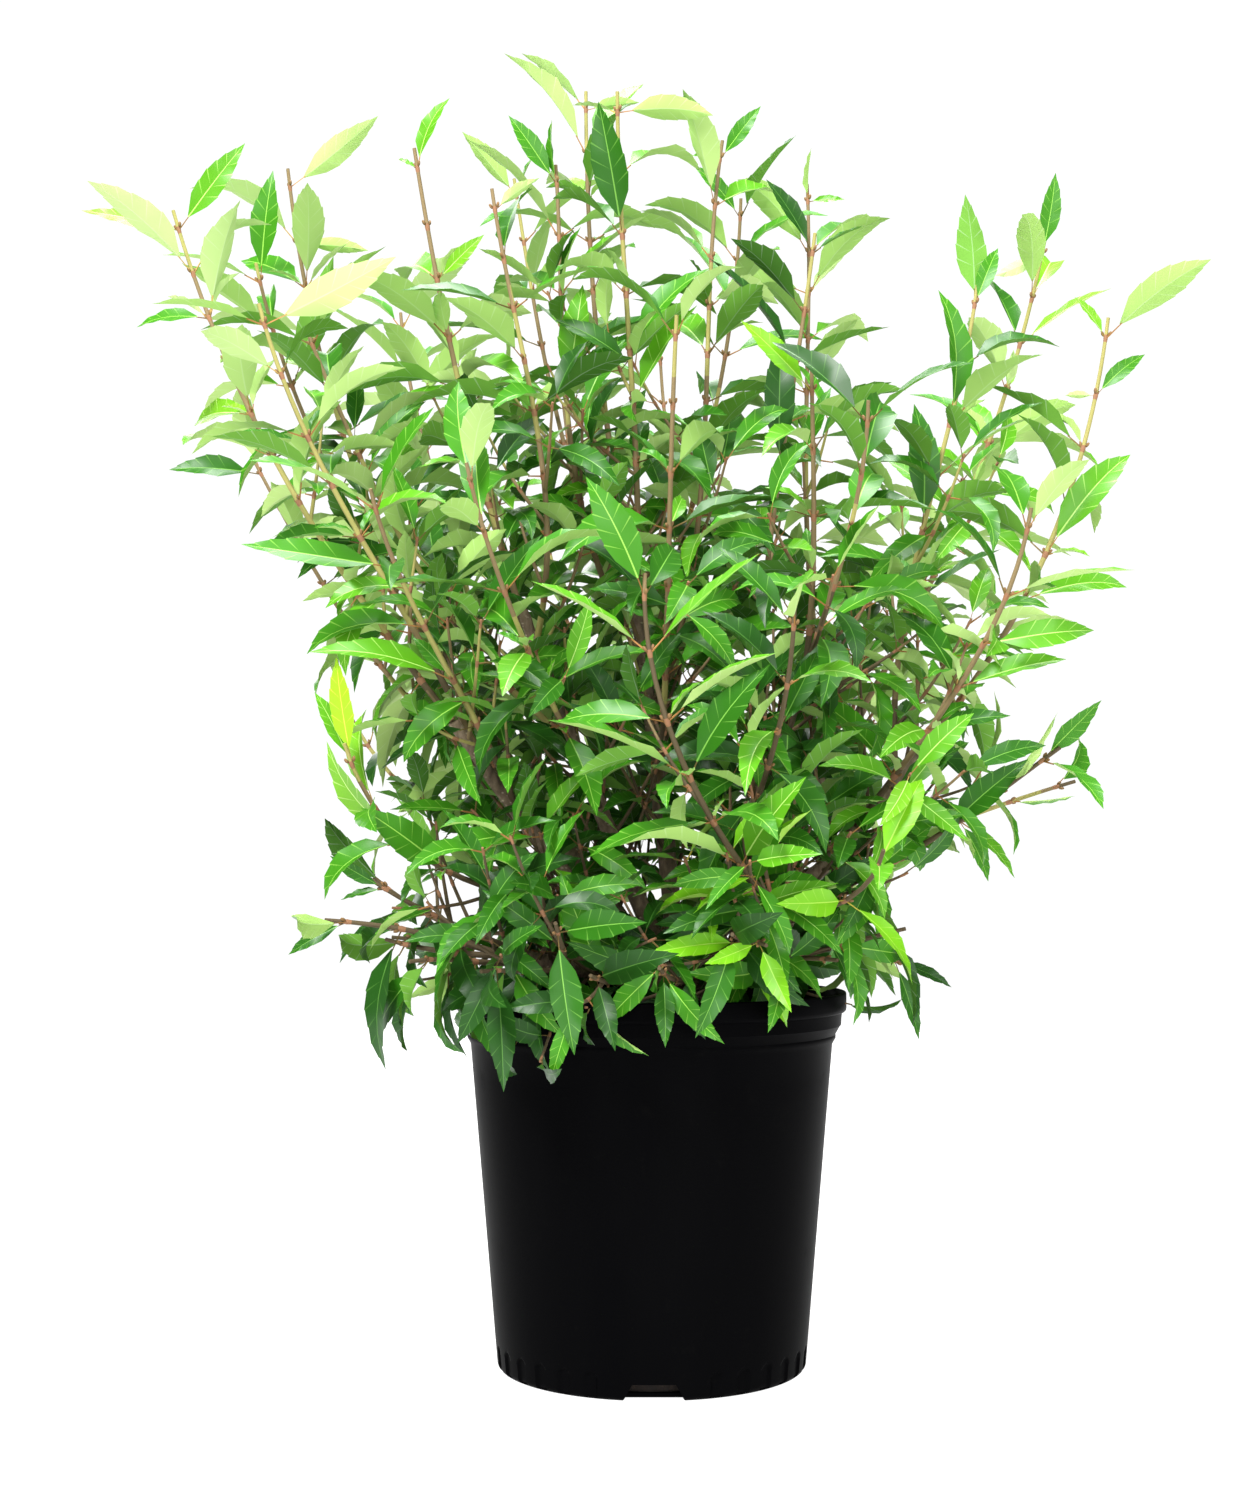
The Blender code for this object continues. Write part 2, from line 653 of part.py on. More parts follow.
def shoot_tube(shoot, bough, rng):
    """A shoot's course, from its seat on the bough's tip or side to its own tip."""
    tip = Vector(shoot.tip)
    axis, along, radius = bough.point(shoot.at)
    if shoot.at >= 1.0:
        seat = along
        start = axis + along * GAP
        foot_radius = min(STEM_FOOT_RADIUS, STEM_ON_TIP * radius)
    else:
        chord = tip - axis
        seat = (chord - along * chord.dot(along)).normalized()
        start = axis + seat * (radius + GAP)
        foot_radius = STEM_FOOT_RADIUS
    chord = tip - start
    level = Vector((chord.x, chord.y, 0.0))
    rise = Vector((0.0, 0.0, chord.z))
    leave_way = (level * shoot.spread + rise).normalized()
    leave_way = (leave_way + STEM_SEAT_LEAN * seat).normalized()
    arrive_way = (level * shoot.arch + rise).normalized()
    side, up = across(chord.normalized())
    bow = side * rng.uniform(-STEM_BOW, STEM_BOW) + up * rng.uniform(-STEM_BOW, STEM_BOW)
    reach = chord.length
    leave = start + leave_way * STEM_HANDLE * reach + bow
    arrive = tip - arrive_way * STEM_HANDLE * reach + bow
    stations = max(FEWEST_STATIONS, 1 + round(reach / STEM_STEP))
    path = cubic(start, leave, arrive, tip, stations)
    radii = [
        foot_radius + (STEM_TIP_RADIUS - foot_radius) * step / (stations - 1)
        for step in range(stations)
    ]
    return Tube(path, radii, seat)


def twig_tube(stem, share, turn, rng):
    """A side twig that leaves a stem at an angle and bends up a little."""
    axis, along, _ = stem.point(share)
    side, up = across(along)
    radial = side * math.cos(turn) + up * math.sin(turn)
    angle = rng.uniform(*TWIG_ANGLE)
    way = along * math.cos(angle) + radial * math.sin(angle)
    length = rng.uniform(*TWIG_LENGTH)
    tip = axis + (way + Vector((0, 0, TWIG_RISE))).normalized() * length
    middle = axis + way * 0.5 * length
    return Tube([axis, middle, tip], [TWIG_FOOT_RADIUS, TWIG_FOOT_RADIUS, TWIG_TIP_RADIUS], way)


def leaf_points(seat, way, face, length, width, droop, swell=0.0, start=0.0):
    """The six points of a leaf: root, tip, two margins, and the rib above and below."""
    side = way.cross(face).normalized()
    bent = (way * math.cos(droop) - face * math.sin(droop)).normalized()
    waist = seat + way * (LEAF_WAIST * length)
    rib = waist - face * LEAF_FOLD
    half = LEAF_THICKNESS / 2 + swell
    root = seat - way * LEAF_SINK if start == 0.0 else seat + way * start
    tip = waist + bent * ((1 - LEAF_WAIST) * length + swell)
    return [
        root,
        tip,
        waist + side * (width / 2 + swell),
        waist - side * (width / 2 + swell),
        rib + face * half,
        rib - face * half,
    ]


LEAF_FACES = [
    (0, 4, 2),
    (0, 3, 4),
    (1, 2, 4),
    (1, 4, 3),
    (0, 2, 5),
    (0, 5, 3),
    (1, 5, 2),
    (1, 3, 5),
]


def leaf_seats(stem, spacing, phase, first=FIRST_PAIR):
    """The places of a stem's leaves from its tip down: axis point, direction, turn, share from the tip."""
    length = stem.length()
    pairs = max(1, int((length - first - LAST_PAIR) / spacing) + 1)
    seats = []
    for pair in range(pairs):
        down = first + pair * spacing
        axis, along, _ = stem.point(1 - down / length)
        for half_turn in (0.0, math.pi):
            seats.append((axis, along, phase + pair * math.pi / 2 + half_turn, down / length))
    return seats


def leaf_candidate(seat, rng):
    """One leaf's shape at a seat: its points, the same fattened, and the fat blade past its root."""
    axis, along, turn, down = seat
    side, up = across(along)
    turn += rng.uniform(-LEAF_TURN_PLAY, LEAF_TURN_PLAY)
    radial = side * math.cos(turn) + up * math.sin(turn)
    opened = min(1.0, down * LEAF_OPENING)
    angle = TIP_ANGLE + (FOOT_ANGLE - TIP_ANGLE) * opened + rng.uniform(-LEAF_ANGLE_PLAY, LEAF_ANGLE_PLAY)
    way = along * math.cos(angle) + radial * math.sin(angle)
    way = (way - Vector((0, 0, LEAF_SAG * (1 - abs(along.z))))).normalized()
    face = along * math.sin(angle) - radial * math.cos(angle) + Vector((0, 0, LEAF_FACE_LIFT))
    face = (face - way * face.dot(way)).normalized()
    face = Matrix.Rotation(rng.uniform(-LEAF_ROLL_PLAY, LEAF_ROLL_PLAY), 3, way) @ face
    length = rng.uniform(*LEAF_LENGTH) + LEAF_GROWTH * min(1.0, LEAF_GROWTH_RATE * down)
    width = LEAF_WIDTH_SHARE * length * rng.uniform(*LEAF_WIDTH_PLAY)
    droop = rng.uniform(*LEAF_DROOP)
    real = leaf_points(axis, way, face, length, width, droop)
    fat = leaf_points(axis, way, face, length, width, droop, LEAF_CLEARANCE)
    blade = leaf_points(axis, way, face, length, width, droop, LEAF_CLEARANCE, LEAF_TEST_START)
    return real, fat, blade


def in_sleeve(points, stem):
    """True when a leaf's points keep to the space round their own stem and above the lowest leaf."""
    for point in points:
        if point.z < LOWEST_LEAF:
            return False
        near = min((point - station).length for station in stem.path)
        if near > SLEEVE:
            return False
    return True


@dataclass
class Mass:
    """One leafy shoot while it grows: its stem, side twigs and leaves."""

    shoot: Shoot
    stem: Tube
    rng: random.Random
    twigs: list = field(default_factory=list)
    seats: list = field(default_factory=list)
    solids: list = field(default_factory=list)
    leaves: list = field(default_factory=list)


def grow_stems(boughs, limbs):
    """Places every shoot's stem clear of the limbs and of the other stems."""
    masses = []
    for index, shoot in enumerate(SHOOTS):
        rng = random.Random(SEED + index)
        for _ in range(STEM_TRIES):
            stem = shoot_tube(shoot, boughs[shoot.bough], rng)
            fat = tube_solid(stem, STEM_SIDES, STEM_CLEARANCE)
            thin = tube_solid(stem, STEM_SIDES)
            stems = [other.solids[0] for other in masses]
            if any(fat.meets(other) for other in stems) or any(thin.meets(limb) for limb in limbs):
                continue
            break
        else:
            raise ValueError(shoot.name + " finds no clear course")
        masses.append(Mass(shoot, stem, rng, solids=[thin]))
    return masses


def solids_besides(masses, mass):
    """Every solid of the other masses."""
    return [solid for other in masses if other is not mass for solid in other.solids]


def grow_twigs(masses, limbs):
    """Adds side twigs where they keep clear of everything but their own stem."""
    for mass in masses:
        others = limbs + solids_besides(masses, mass)
        count = int(mass.stem.length() / TWIG_SPACING)
        for step in range(count):
            share = TWIG_START + TWIG_SPAN * (step + 0.5) / count
            for _ in range(TWIG_TRIES):
                turn = mass.rng.uniform(0, math.tau)
                twig = twig_tube(mass.stem, share, turn, mass.rng)
                fat = tube_solid(twig, STEM_SIDES, STEM_CLEARANCE)
                if any(fat.meets(other) for other in others + mass.solids[1:]):
                    continue
                mass.twigs.append(twig)
                mass.solids.append(tube_solid(twig, STEM_SIDES))
                break


def deal_leaves(masses, limbs):
    """Deals leaves round the shoots in turn, and skips each that touches another or leaves its space."""
    for mass in masses:
        phase = mass.rng.uniform(0, math.pi)
        mass.seats = leaf_seats(mass.stem, PAIR_SPACING, phase)
        for twig in mass.twigs:
            mass.seats += leaf_seats(twig, PAIR_SPACING, mass.rng.uniform(0, math.pi), TWIG_FIRST_PAIR)
        mass.seats.sort(key=lambda seat: seat[3])
    left = MOST_LEAVES
    for turn in range(max(len(mass.seats) for mass in masses)):
        for mass in masses:
            if turn >= len(mass.seats) or not left:
                continue
            others = limbs + solids_besides(masses, mass)
            for _ in range(LEAF_TRIES):
                real, fat, blade = leaf_candidate(mass.seats[turn], mass.rng)
                if not in_sleeve(real, mass.stem):
                    continue
                whole, outer = Solid(fat, LEAF_FACES), Solid(blade, LEAF_FACES)
                if any(whole.meets(other) for other in others):
                    continue
                if any(outer.meets(own) for own in mass.solids):
                    continue
                leaf = Solid(real, LEAF_FACES)
                mass.solids.append(leaf)
                mass.leaves.append(leaf)
                left -= 1
                break


def make_mass(mass, finish):
    """One shoot as a closed body: its stem with twigs and leaves fused on."""
    name = mass.shoot.name
    stem = object_of_solid(tube_solid(mass.stem, STEM_SIDES), name, finish)
    joined = bpy.data.collections.new(name + "_growth")
    bpy.context.scene.collection.children.link(joined)
    for twig in mass.twigs:
        object_of_solid(tube_solid(twig, STEM_SIDES), name + "_twig", finish, joined)
    for leaf in mass.leaves:
        object_of_solid(leaf, name + "_leaf", finish, joined)
    fuse(stem, joined)
    return stem


def main():
    """Builds the pot, its filling, the wood and the leafy shoots."""
    clear_scene()
    black_plastic = material("black_plastic", (0.010, 0.010, 0.012), 0.42)
    peat = material("potting_mix", (0.035, 0.024, 0.016), 0.95)
    bark = material("bark", (0.210, 0.150, 0.095), 0.85)
    foliage = material("foliage", (0.110, 0.260, 0.045), 0.50)

    pot = make_pot(black_plastic)
    mix = make_mix(peat)
    tubes = {bough.name: bough_tube(bough) for bough in BOUGHS}
    crown = make_root_crown(list(tubes.values()), bark)
    limbs = [solid_of(pot), solid_of(mix), solid_of(crown)]
    for name, tube in tubes.items():
        solid = tube_solid(tube, BOUGH_SIDES)
        object_of_solid(solid, name, bark)
        limbs.append(solid)

    masses = grow_stems(tubes, limbs)
    grow_twigs(masses, limbs)
    deal_leaves(masses, limbs)
    for mass in masses:
        make_mass(mass, foliage)


main()
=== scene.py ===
"""A forsythia shrub in a round nursery pot: a fine pot, potting mix, bark, canes and leaves over the solids.

Metres, +Z up. The origin is the middle of the pot's flat underside, and the front is towards -Y.
"""

import logging
import math
import random
from collections.abc import Iterable, Sequence
from dataclasses import dataclass, field
from enum import Enum

import bmesh
import bpy
import numpy as np
from mathutils import Matrix, Vector, noise
from mathutils.bvhtree import BVHTree
from mathutils.kdtree import KDTree


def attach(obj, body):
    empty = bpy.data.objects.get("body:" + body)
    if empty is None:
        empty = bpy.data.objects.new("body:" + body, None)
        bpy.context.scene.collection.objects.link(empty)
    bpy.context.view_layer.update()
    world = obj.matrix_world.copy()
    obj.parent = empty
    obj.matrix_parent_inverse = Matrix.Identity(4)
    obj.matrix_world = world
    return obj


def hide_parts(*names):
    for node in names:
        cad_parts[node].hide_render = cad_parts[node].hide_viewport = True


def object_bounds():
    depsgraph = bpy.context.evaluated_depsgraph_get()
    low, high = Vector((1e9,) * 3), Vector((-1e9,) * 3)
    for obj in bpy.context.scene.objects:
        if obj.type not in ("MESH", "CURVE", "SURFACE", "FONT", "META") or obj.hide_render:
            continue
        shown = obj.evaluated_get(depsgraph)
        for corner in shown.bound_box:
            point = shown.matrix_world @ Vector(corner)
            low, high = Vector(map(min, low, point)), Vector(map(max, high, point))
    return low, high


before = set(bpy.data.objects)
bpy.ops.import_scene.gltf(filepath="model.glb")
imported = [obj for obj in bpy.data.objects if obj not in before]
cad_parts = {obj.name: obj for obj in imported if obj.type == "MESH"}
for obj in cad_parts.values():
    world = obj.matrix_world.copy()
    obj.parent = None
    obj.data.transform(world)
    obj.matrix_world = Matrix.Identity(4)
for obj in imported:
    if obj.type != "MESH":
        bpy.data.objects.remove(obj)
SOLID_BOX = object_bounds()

LOG = logging.getLogger("forsythia")
BODY = "root"
SEED = 20
WELD = 1e-6
Colour = tuple[float, float, float]
Point = tuple[float, float, float]
Range = tuple[float, float]
Profile = Sequence[tuple[float, float]]

# The camera's place, from which the gaps of sky are seen
EYE: Point = (-0.0196, -1.3, 0.2973)

# Roughness and specular level of a leaf's two sides, and how its finer veins are blended
UPPER_SHEEN = (0.36, 0.24)
UNDER_SHEEN = (0.60, 0.05)
SIDE_VEIN_SHARE = 0.5
UNDER_VEIN_LIFT = 0.10


class Socket:
    """A shader socket that takes part in Python expressions."""

    def __init__(self, shading: "Shading", link: bpy.types.NodeSocket) -> None:
        """Wraps a socket of the shading's tree."""
        self.shading = shading
        self.link = link

    def _math(self, operation: str, first: object, second: object) -> "Socket":
        """Adds a Math node on two values or sockets."""
        return self.shading.node("ShaderNodeMath", {"operation": operation}, {0: first, 1: second})

    def __add__(self, other: object) -> "Socket":
        """This plus another."""
        return self._math("ADD", self, other)

    __radd__ = __add__

    def __mul__(self, other: object) -> "Socket":
        """This times another."""
        return self._math("MULTIPLY", self, other)

    __rmul__ = __mul__


class Shading:
    """One material's nodes."""

    def __init__(self, name: str) -> None:
        """Makes a material with its Principled shader.

        Args:
            name: The material's name.
        """
        self.material = bpy.data.materials.new(name)
        self.material.use_nodes = True
        self.tree = self.material.node_tree
        self.surface = self.tree.nodes["Principled BSDF"]

    def node(self, kind: str, settings: dict, inputs: dict, output: int | str = 0) -> Socket:
        """Adds a node.

        Args:
            kind: The node's type.
            settings: The node's own settings, and a ramp's stops as (place, colour) pairs.
            inputs: Values or sockets by input index or name.
            output: The output wanted.

        Returns:
            The wrapped output socket.
        """
        made = self.tree.nodes.new(kind)
        for key, value in settings.items():
            if key != "stops":
                setattr(made, key, value)
                continue
            ramp = made.color_ramp.elements
            while len(ramp) < len(value):
                ramp.new(0.5)
            for element, (place, colour) in zip(ramp, value):
                element.position = place
                element.color = (*colour, 1.0)
        for key, value in inputs.items():
            self.join(made.inputs[key], value)
        return Socket(self, made.outputs[output])

    def join(self, target: bpy.types.NodeSocket, value: object) -> None:
        """Links a socket to an input, or sets the input's own value."""
        if isinstance(value, Socket):
            self.tree.links.new(value.link, target)
        else:
            target.default_value = value

    def place(self, scale: Point = (1.0, 1.0, 1.0)) -> Socket:
        """Object coordinates, stretched by a scale."""
        coordinates = self.node("ShaderNodeTexCoord", {}, {}, "Object")
        return self.node("ShaderNodeMapping", {}, {"Vector": coordinates, "Scale": scale})

    def noise(self, where: Socket, scale: float, detail: float = 3.0, rough: float = 0.5) -> Socket:
        """Noise from 0 to 1 at a place."""
        values = {"Vector": where, "Scale": scale, "Detail": detail, "Roughness": rough}
        return self.node("ShaderNodeTexNoise", {}, values)

    def ramp(self, share: Socket, stops: Sequence[tuple[float, tuple]]) -> Socket:
        """A colour ramp's colour at a share."""
        return self.node("ShaderNodeValToRGB", {"stops": stops}, {0: share})

    def mix(self, share: Socket, low: object, high: object) -> Socket:
        """A colour between two others."""
        return self.node("ShaderNodeMix", {"data_type": "RGBA"}, {0: share, 6: low, 7: high}, 2)

    def bump(self, height: Socket, strength: float, depth: float) -> Socket:
        """A bumped normal from a height."""
        return self.node("ShaderNodeBump", {}, {"Height": height, "Strength": strength, "Distance": depth})

    def dress(self, **sockets: object) -> bpy.types.Material:
        """Sets the shader's sockets, named with underscores for spaces.

        Args:
            sockets: A value or socket for each input of the shader.

        Returns:
            The material.
        """
        for name, value in sockets.items():
            self.join(self.surface.inputs[name.replace("_", " ")], value)
        return self.material


@dataclass(frozen=True)
class PlainFinish:
    """A plain finish whose colour belongs to its place on the plant."""

    name: str
    colour: Colour
    roughness: float = 0.5
    specular: float = 0.3

    def material(self) -> bpy.types.Material:
        """The finish's material, made once."""
        known = bpy.data.materials.get(self.name)
        if known:
            return known
        return Shading(self.name).dress(
            Base_Color=(*self.colour, 1.0),
            Roughness=self.roughness,
            Specular_IOR_Level=self.specular,
        )


@dataclass(frozen=True)
class PotPlastic:
    """Black moulded plastic with a faint flow pattern and a little dust in patches."""

    name: str = "pot_plastic"
    dark: Colour = (0.0008, 0.0008, 0.0011)
    light: Colour = (0.0018, 0.0018, 0.0020)
    dust: Colour = (0.0040, 0.0038, 0.0035)
    dust_share: float = 0.35
    roughness: float = 0.36
    specular: float = 0.01
    relief: float = 0.0006

    def material(self) -> bpy.types.Material:
        """The finish's material."""
        shading = Shading(self.name)
        place = shading.place()
        flow = shading.noise(shading.place((1.0, 1.0, 0.25)), 26.0, 4.0)
        grain = shading.noise(place, 900.0, 2.0)
        scuffs = shading.noise(place, 60.0, 6.0, 0.7)
        body = shading.mix(flow, (*self.dark, 1.0), (*self.light, 1.0))
        patch = shading.ramp(scuffs, ((0.60, (0.0,) * 3), (0.78, (1.0,) * 3)))
        return shading.dress(
            Base_Color=shading.mix(patch * self.dust_share, body, (*self.dust, 1.0)),
            Roughness=self.roughness + flow * 0.12 + patch * 0.10,
            Specular_IOR_Level=self.specular,
            Normal=shading.bump(grain * 0.4 + flow, 0.12, self.relief),
        )


@dataclass(frozen=True)
class PeatFinish:
    """Dark moist peat and composted bark."""

    name: str = "peat"
    stops: tuple[tuple[float, Colour], ...] = (
        (0.30, (0.006, 0.004, 0.003)),
        (0.55, (0.016, 0.010, 0.007)),
        (0.80, (0.042, 0.028, 0.018)),
    )
    roughness: float = 0.96
    relief: float = 0.002

    def material(self) -> bpy.types.Material:
        """The finish's material."""
        shading = Shading(self.name)
        crumbs = shading.noise(shading.place(), 240.0, 8.0, 0.7)
        return shading.dress(
            Base_Color=shading.ramp(crumbs, self.stops),
            Roughness=self.roughness,
            Normal=shading.bump(crumbs, 0.8, self.relief),
        )


@dataclass(frozen=True)
class BarkFinish:
    """Grey-brown bark with long streaks and pale lenticels."""

    name: str = "bark"
    stops: tuple[tuple[float, Colour], ...] = (
        (0.28, (0.060, 0.042, 0.028)),
        (0.50, (0.175, 0.125, 0.080)),
        (0.74, (0.350, 0.275, 0.185)),
    )
    lenticel: Colour = (0.52, 0.43, 0.32)
    lenticel_share: float = 0.75
    roughness: float = 0.86
    relief: float = 0.0008

    def material(self) -> bpy.types.Material:
        """The finish's material."""
        shading = Shading(self.name)
        streaks = shading.noise(shading.place((1.0, 1.0, 0.35)), 330.0, 6.0, 0.62)
        patches = shading.noise(shading.place(), 45.0, 3.0)
        where = shading.place((1.0, 1.0, 1.6))
        cells = shading.node("ShaderNodeTexVoronoi", {}, {"Vector": where, "Scale": 190.0})
        spots = shading.ramp(cells, ((0.10, (1.0,) * 3), (0.24, (0.0,) * 3)))
        bark = shading.ramp(streaks * 0.65 + patches * 0.35, self.stops)
        return shading.dress(
            Base_Color=shading.mix(spots * self.lenticel_share, bark, (*self.lenticel, 1.0)),
            Roughness=self.roughness,
            Normal=shading.bump(streaks + spots * 0.8, 0.7, self.relief),
        )


class Part(Enum):
    """The parts of a leaf that take a colour of their own."""

    UPPER = 0
    UNDER = 1
    VEIN = 2
    PETIOLE = 3
    SIDE_VEIN = 4
    UNDER_VEIN = 5


class Tint(Enum):
    """A leaf's colours for its upper side, underside, veins and petiole: LIME and YOUNG are the leaves' own
    colours, the others one green painted lighter or darker for the light and shade at the leaf's place.
    """

    # From PALE down to SHADE the tints are painted light and painted shade on one green
    PALE = ((0.145, 0.385, 0.014), (0.500, 0.670, 0.260), (0.500, 0.700, 0.220), (0.400, 0.260, 0.080))
    LIT = ((0.078, 0.280, 0.008), (0.450, 0.640, 0.210), (0.380, 0.620, 0.140), (0.340, 0.170, 0.060))
    MID = ((0.038, 0.188, 0.006), (0.350, 0.560, 0.145), (0.240, 0.490, 0.070), (0.280, 0.140, 0.048))
    DEEP = ((0.018, 0.105, 0.004), (0.130, 0.310, 0.042), (0.130, 0.320, 0.045), (0.150, 0.105, 0.036))
    SHADE = ((0.010, 0.058, 0.004), (0.055, 0.155, 0.022), (0.060, 0.170, 0.026), (0.120, 0.085, 0.030))
    LIME = ((0.150, 0.430, 0.008), (0.340, 0.600, 0.090), (0.340, 0.600, 0.070), (0.380, 0.330, 0.055))
    YOUNG = ((0.250, 0.500, 0.010), (0.400, 0.600, 0.070), (0.520, 0.640, 0.060), (0.440, 0.420, 0.060))

    def colour(self, part: Part) -> Colour:
        """The colour of one part of the leaf.

        Args:
            part: The part. The finer veins are blends of the colours beside them.

        Returns:
            The colour.
        """
        upper, under, vein, petiole = self.value
        side_vein = tuple(
            (1 - SIDE_VEIN_SHARE) * low + SIDE_VEIN_SHARE * high for low, high in zip(upper, vein)
        )
        under_vein = tuple((1 - UNDER_VEIN_LIFT) * low + UNDER_VEIN_LIFT for low in under)
        return dict(zip(Part, (upper, under, vein, petiole, side_vein, under_vein)))[part]

    def finish(self, part: Part) -> PlainFinish:
        """The plain finish of one part of such a leaf."""
        upper = part in (Part.UPPER, Part.VEIN, Part.SIDE_VEIN)
        name = f"leaf_{self.name.lower()}_{part.name.lower()}"
        return PlainFinish(name, self.colour(part), *(UPPER_SHEEN if upper else UNDER_SHEEN))

    def slot(self, part: Part) -> int:
        """The place of the finish among a leafy piece's material slots."""
        return list(Tint).index(self) * len(Part) + part.value


class Region(Enum):
    """The side of the crown that a spray belongs to, with the word for it in names."""

    LEFT = "left"
    MIDDLE = "middle"
    RIGHT = "right"
    FRONT = "front"
    BACK = "back"
    RIM = "rim"

    @staticmethod
    def of(name: str) -> "Region":
        """The region of a shoot or bough, from the second word of its name."""
        word = name.split("_")[1]
        others = {"top": "middle", "centre": "middle", "low": "rim"}
        return Region(others.get(word, word))


@dataclass(frozen=True)
class Bough:
    """A main limb, from the root crown through its knee to its tip."""

    name: str
    knee: Point
    tip: Point


@dataclass(frozen=True)
class Shoot:
    """A leafy cane: the bough that carries it, where along the bough, and where its tip is.

    spread is how much flatter than its chord it sets out, and arch how much of the chord's lean is
    left at its tip. leaf_size is the size of its leaves as a share of the usual.
    """

    name: str
    bough: str
    at: float
    tip: Point
    spread: float = 1.5
    arch: float = 0.55
    leaf_size: float = 1.0


BOUGHS = (
    Bough("bough_left", (-0.050, -0.028, 0.278), (-0.112, -0.068, 0.372)),
    Bough("bough_right", (0.088, -0.046, 0.272), (0.160, -0.052, 0.366)),
    Bough("bough_front", (0.048, -0.058, 0.244), (0.074, -0.092, 0.262)),
    Bough("bough_centre_left", (-0.034, -0.008, 0.330), (-0.078, -0.024, 0.445)),
    Bough("bough_centre", (0.006, 0.012, 0.345), (-0.012, 0.022, 0.470)),
    Bough("bough_centre_right", (0.056, -0.024, 0.310), (0.086, -0.055, 0.398)),
    Bough("bough_back_left", (-0.048, 0.046, 0.296), (-0.115, 0.088, 0.395)),
    Bough("bough_back", (0.010, 0.070, 0.320), (0.002, 0.122, 0.430)),
    Bough("bough_back_right", (0.072, 0.050, 0.292), (0.136, 0.086, 0.392)),
    Bough("bough_low_left", (-0.046, -0.040, 0.234), (-0.084, -0.076, 0.242)),
    Bough("bough_low_right", (0.072, 0.002, 0.236), (0.106, 0.014, 0.244)),
    Bough("bough_low_back", (0.000, 0.060, 0.240), (-0.020, 0.104, 0.256)),
)

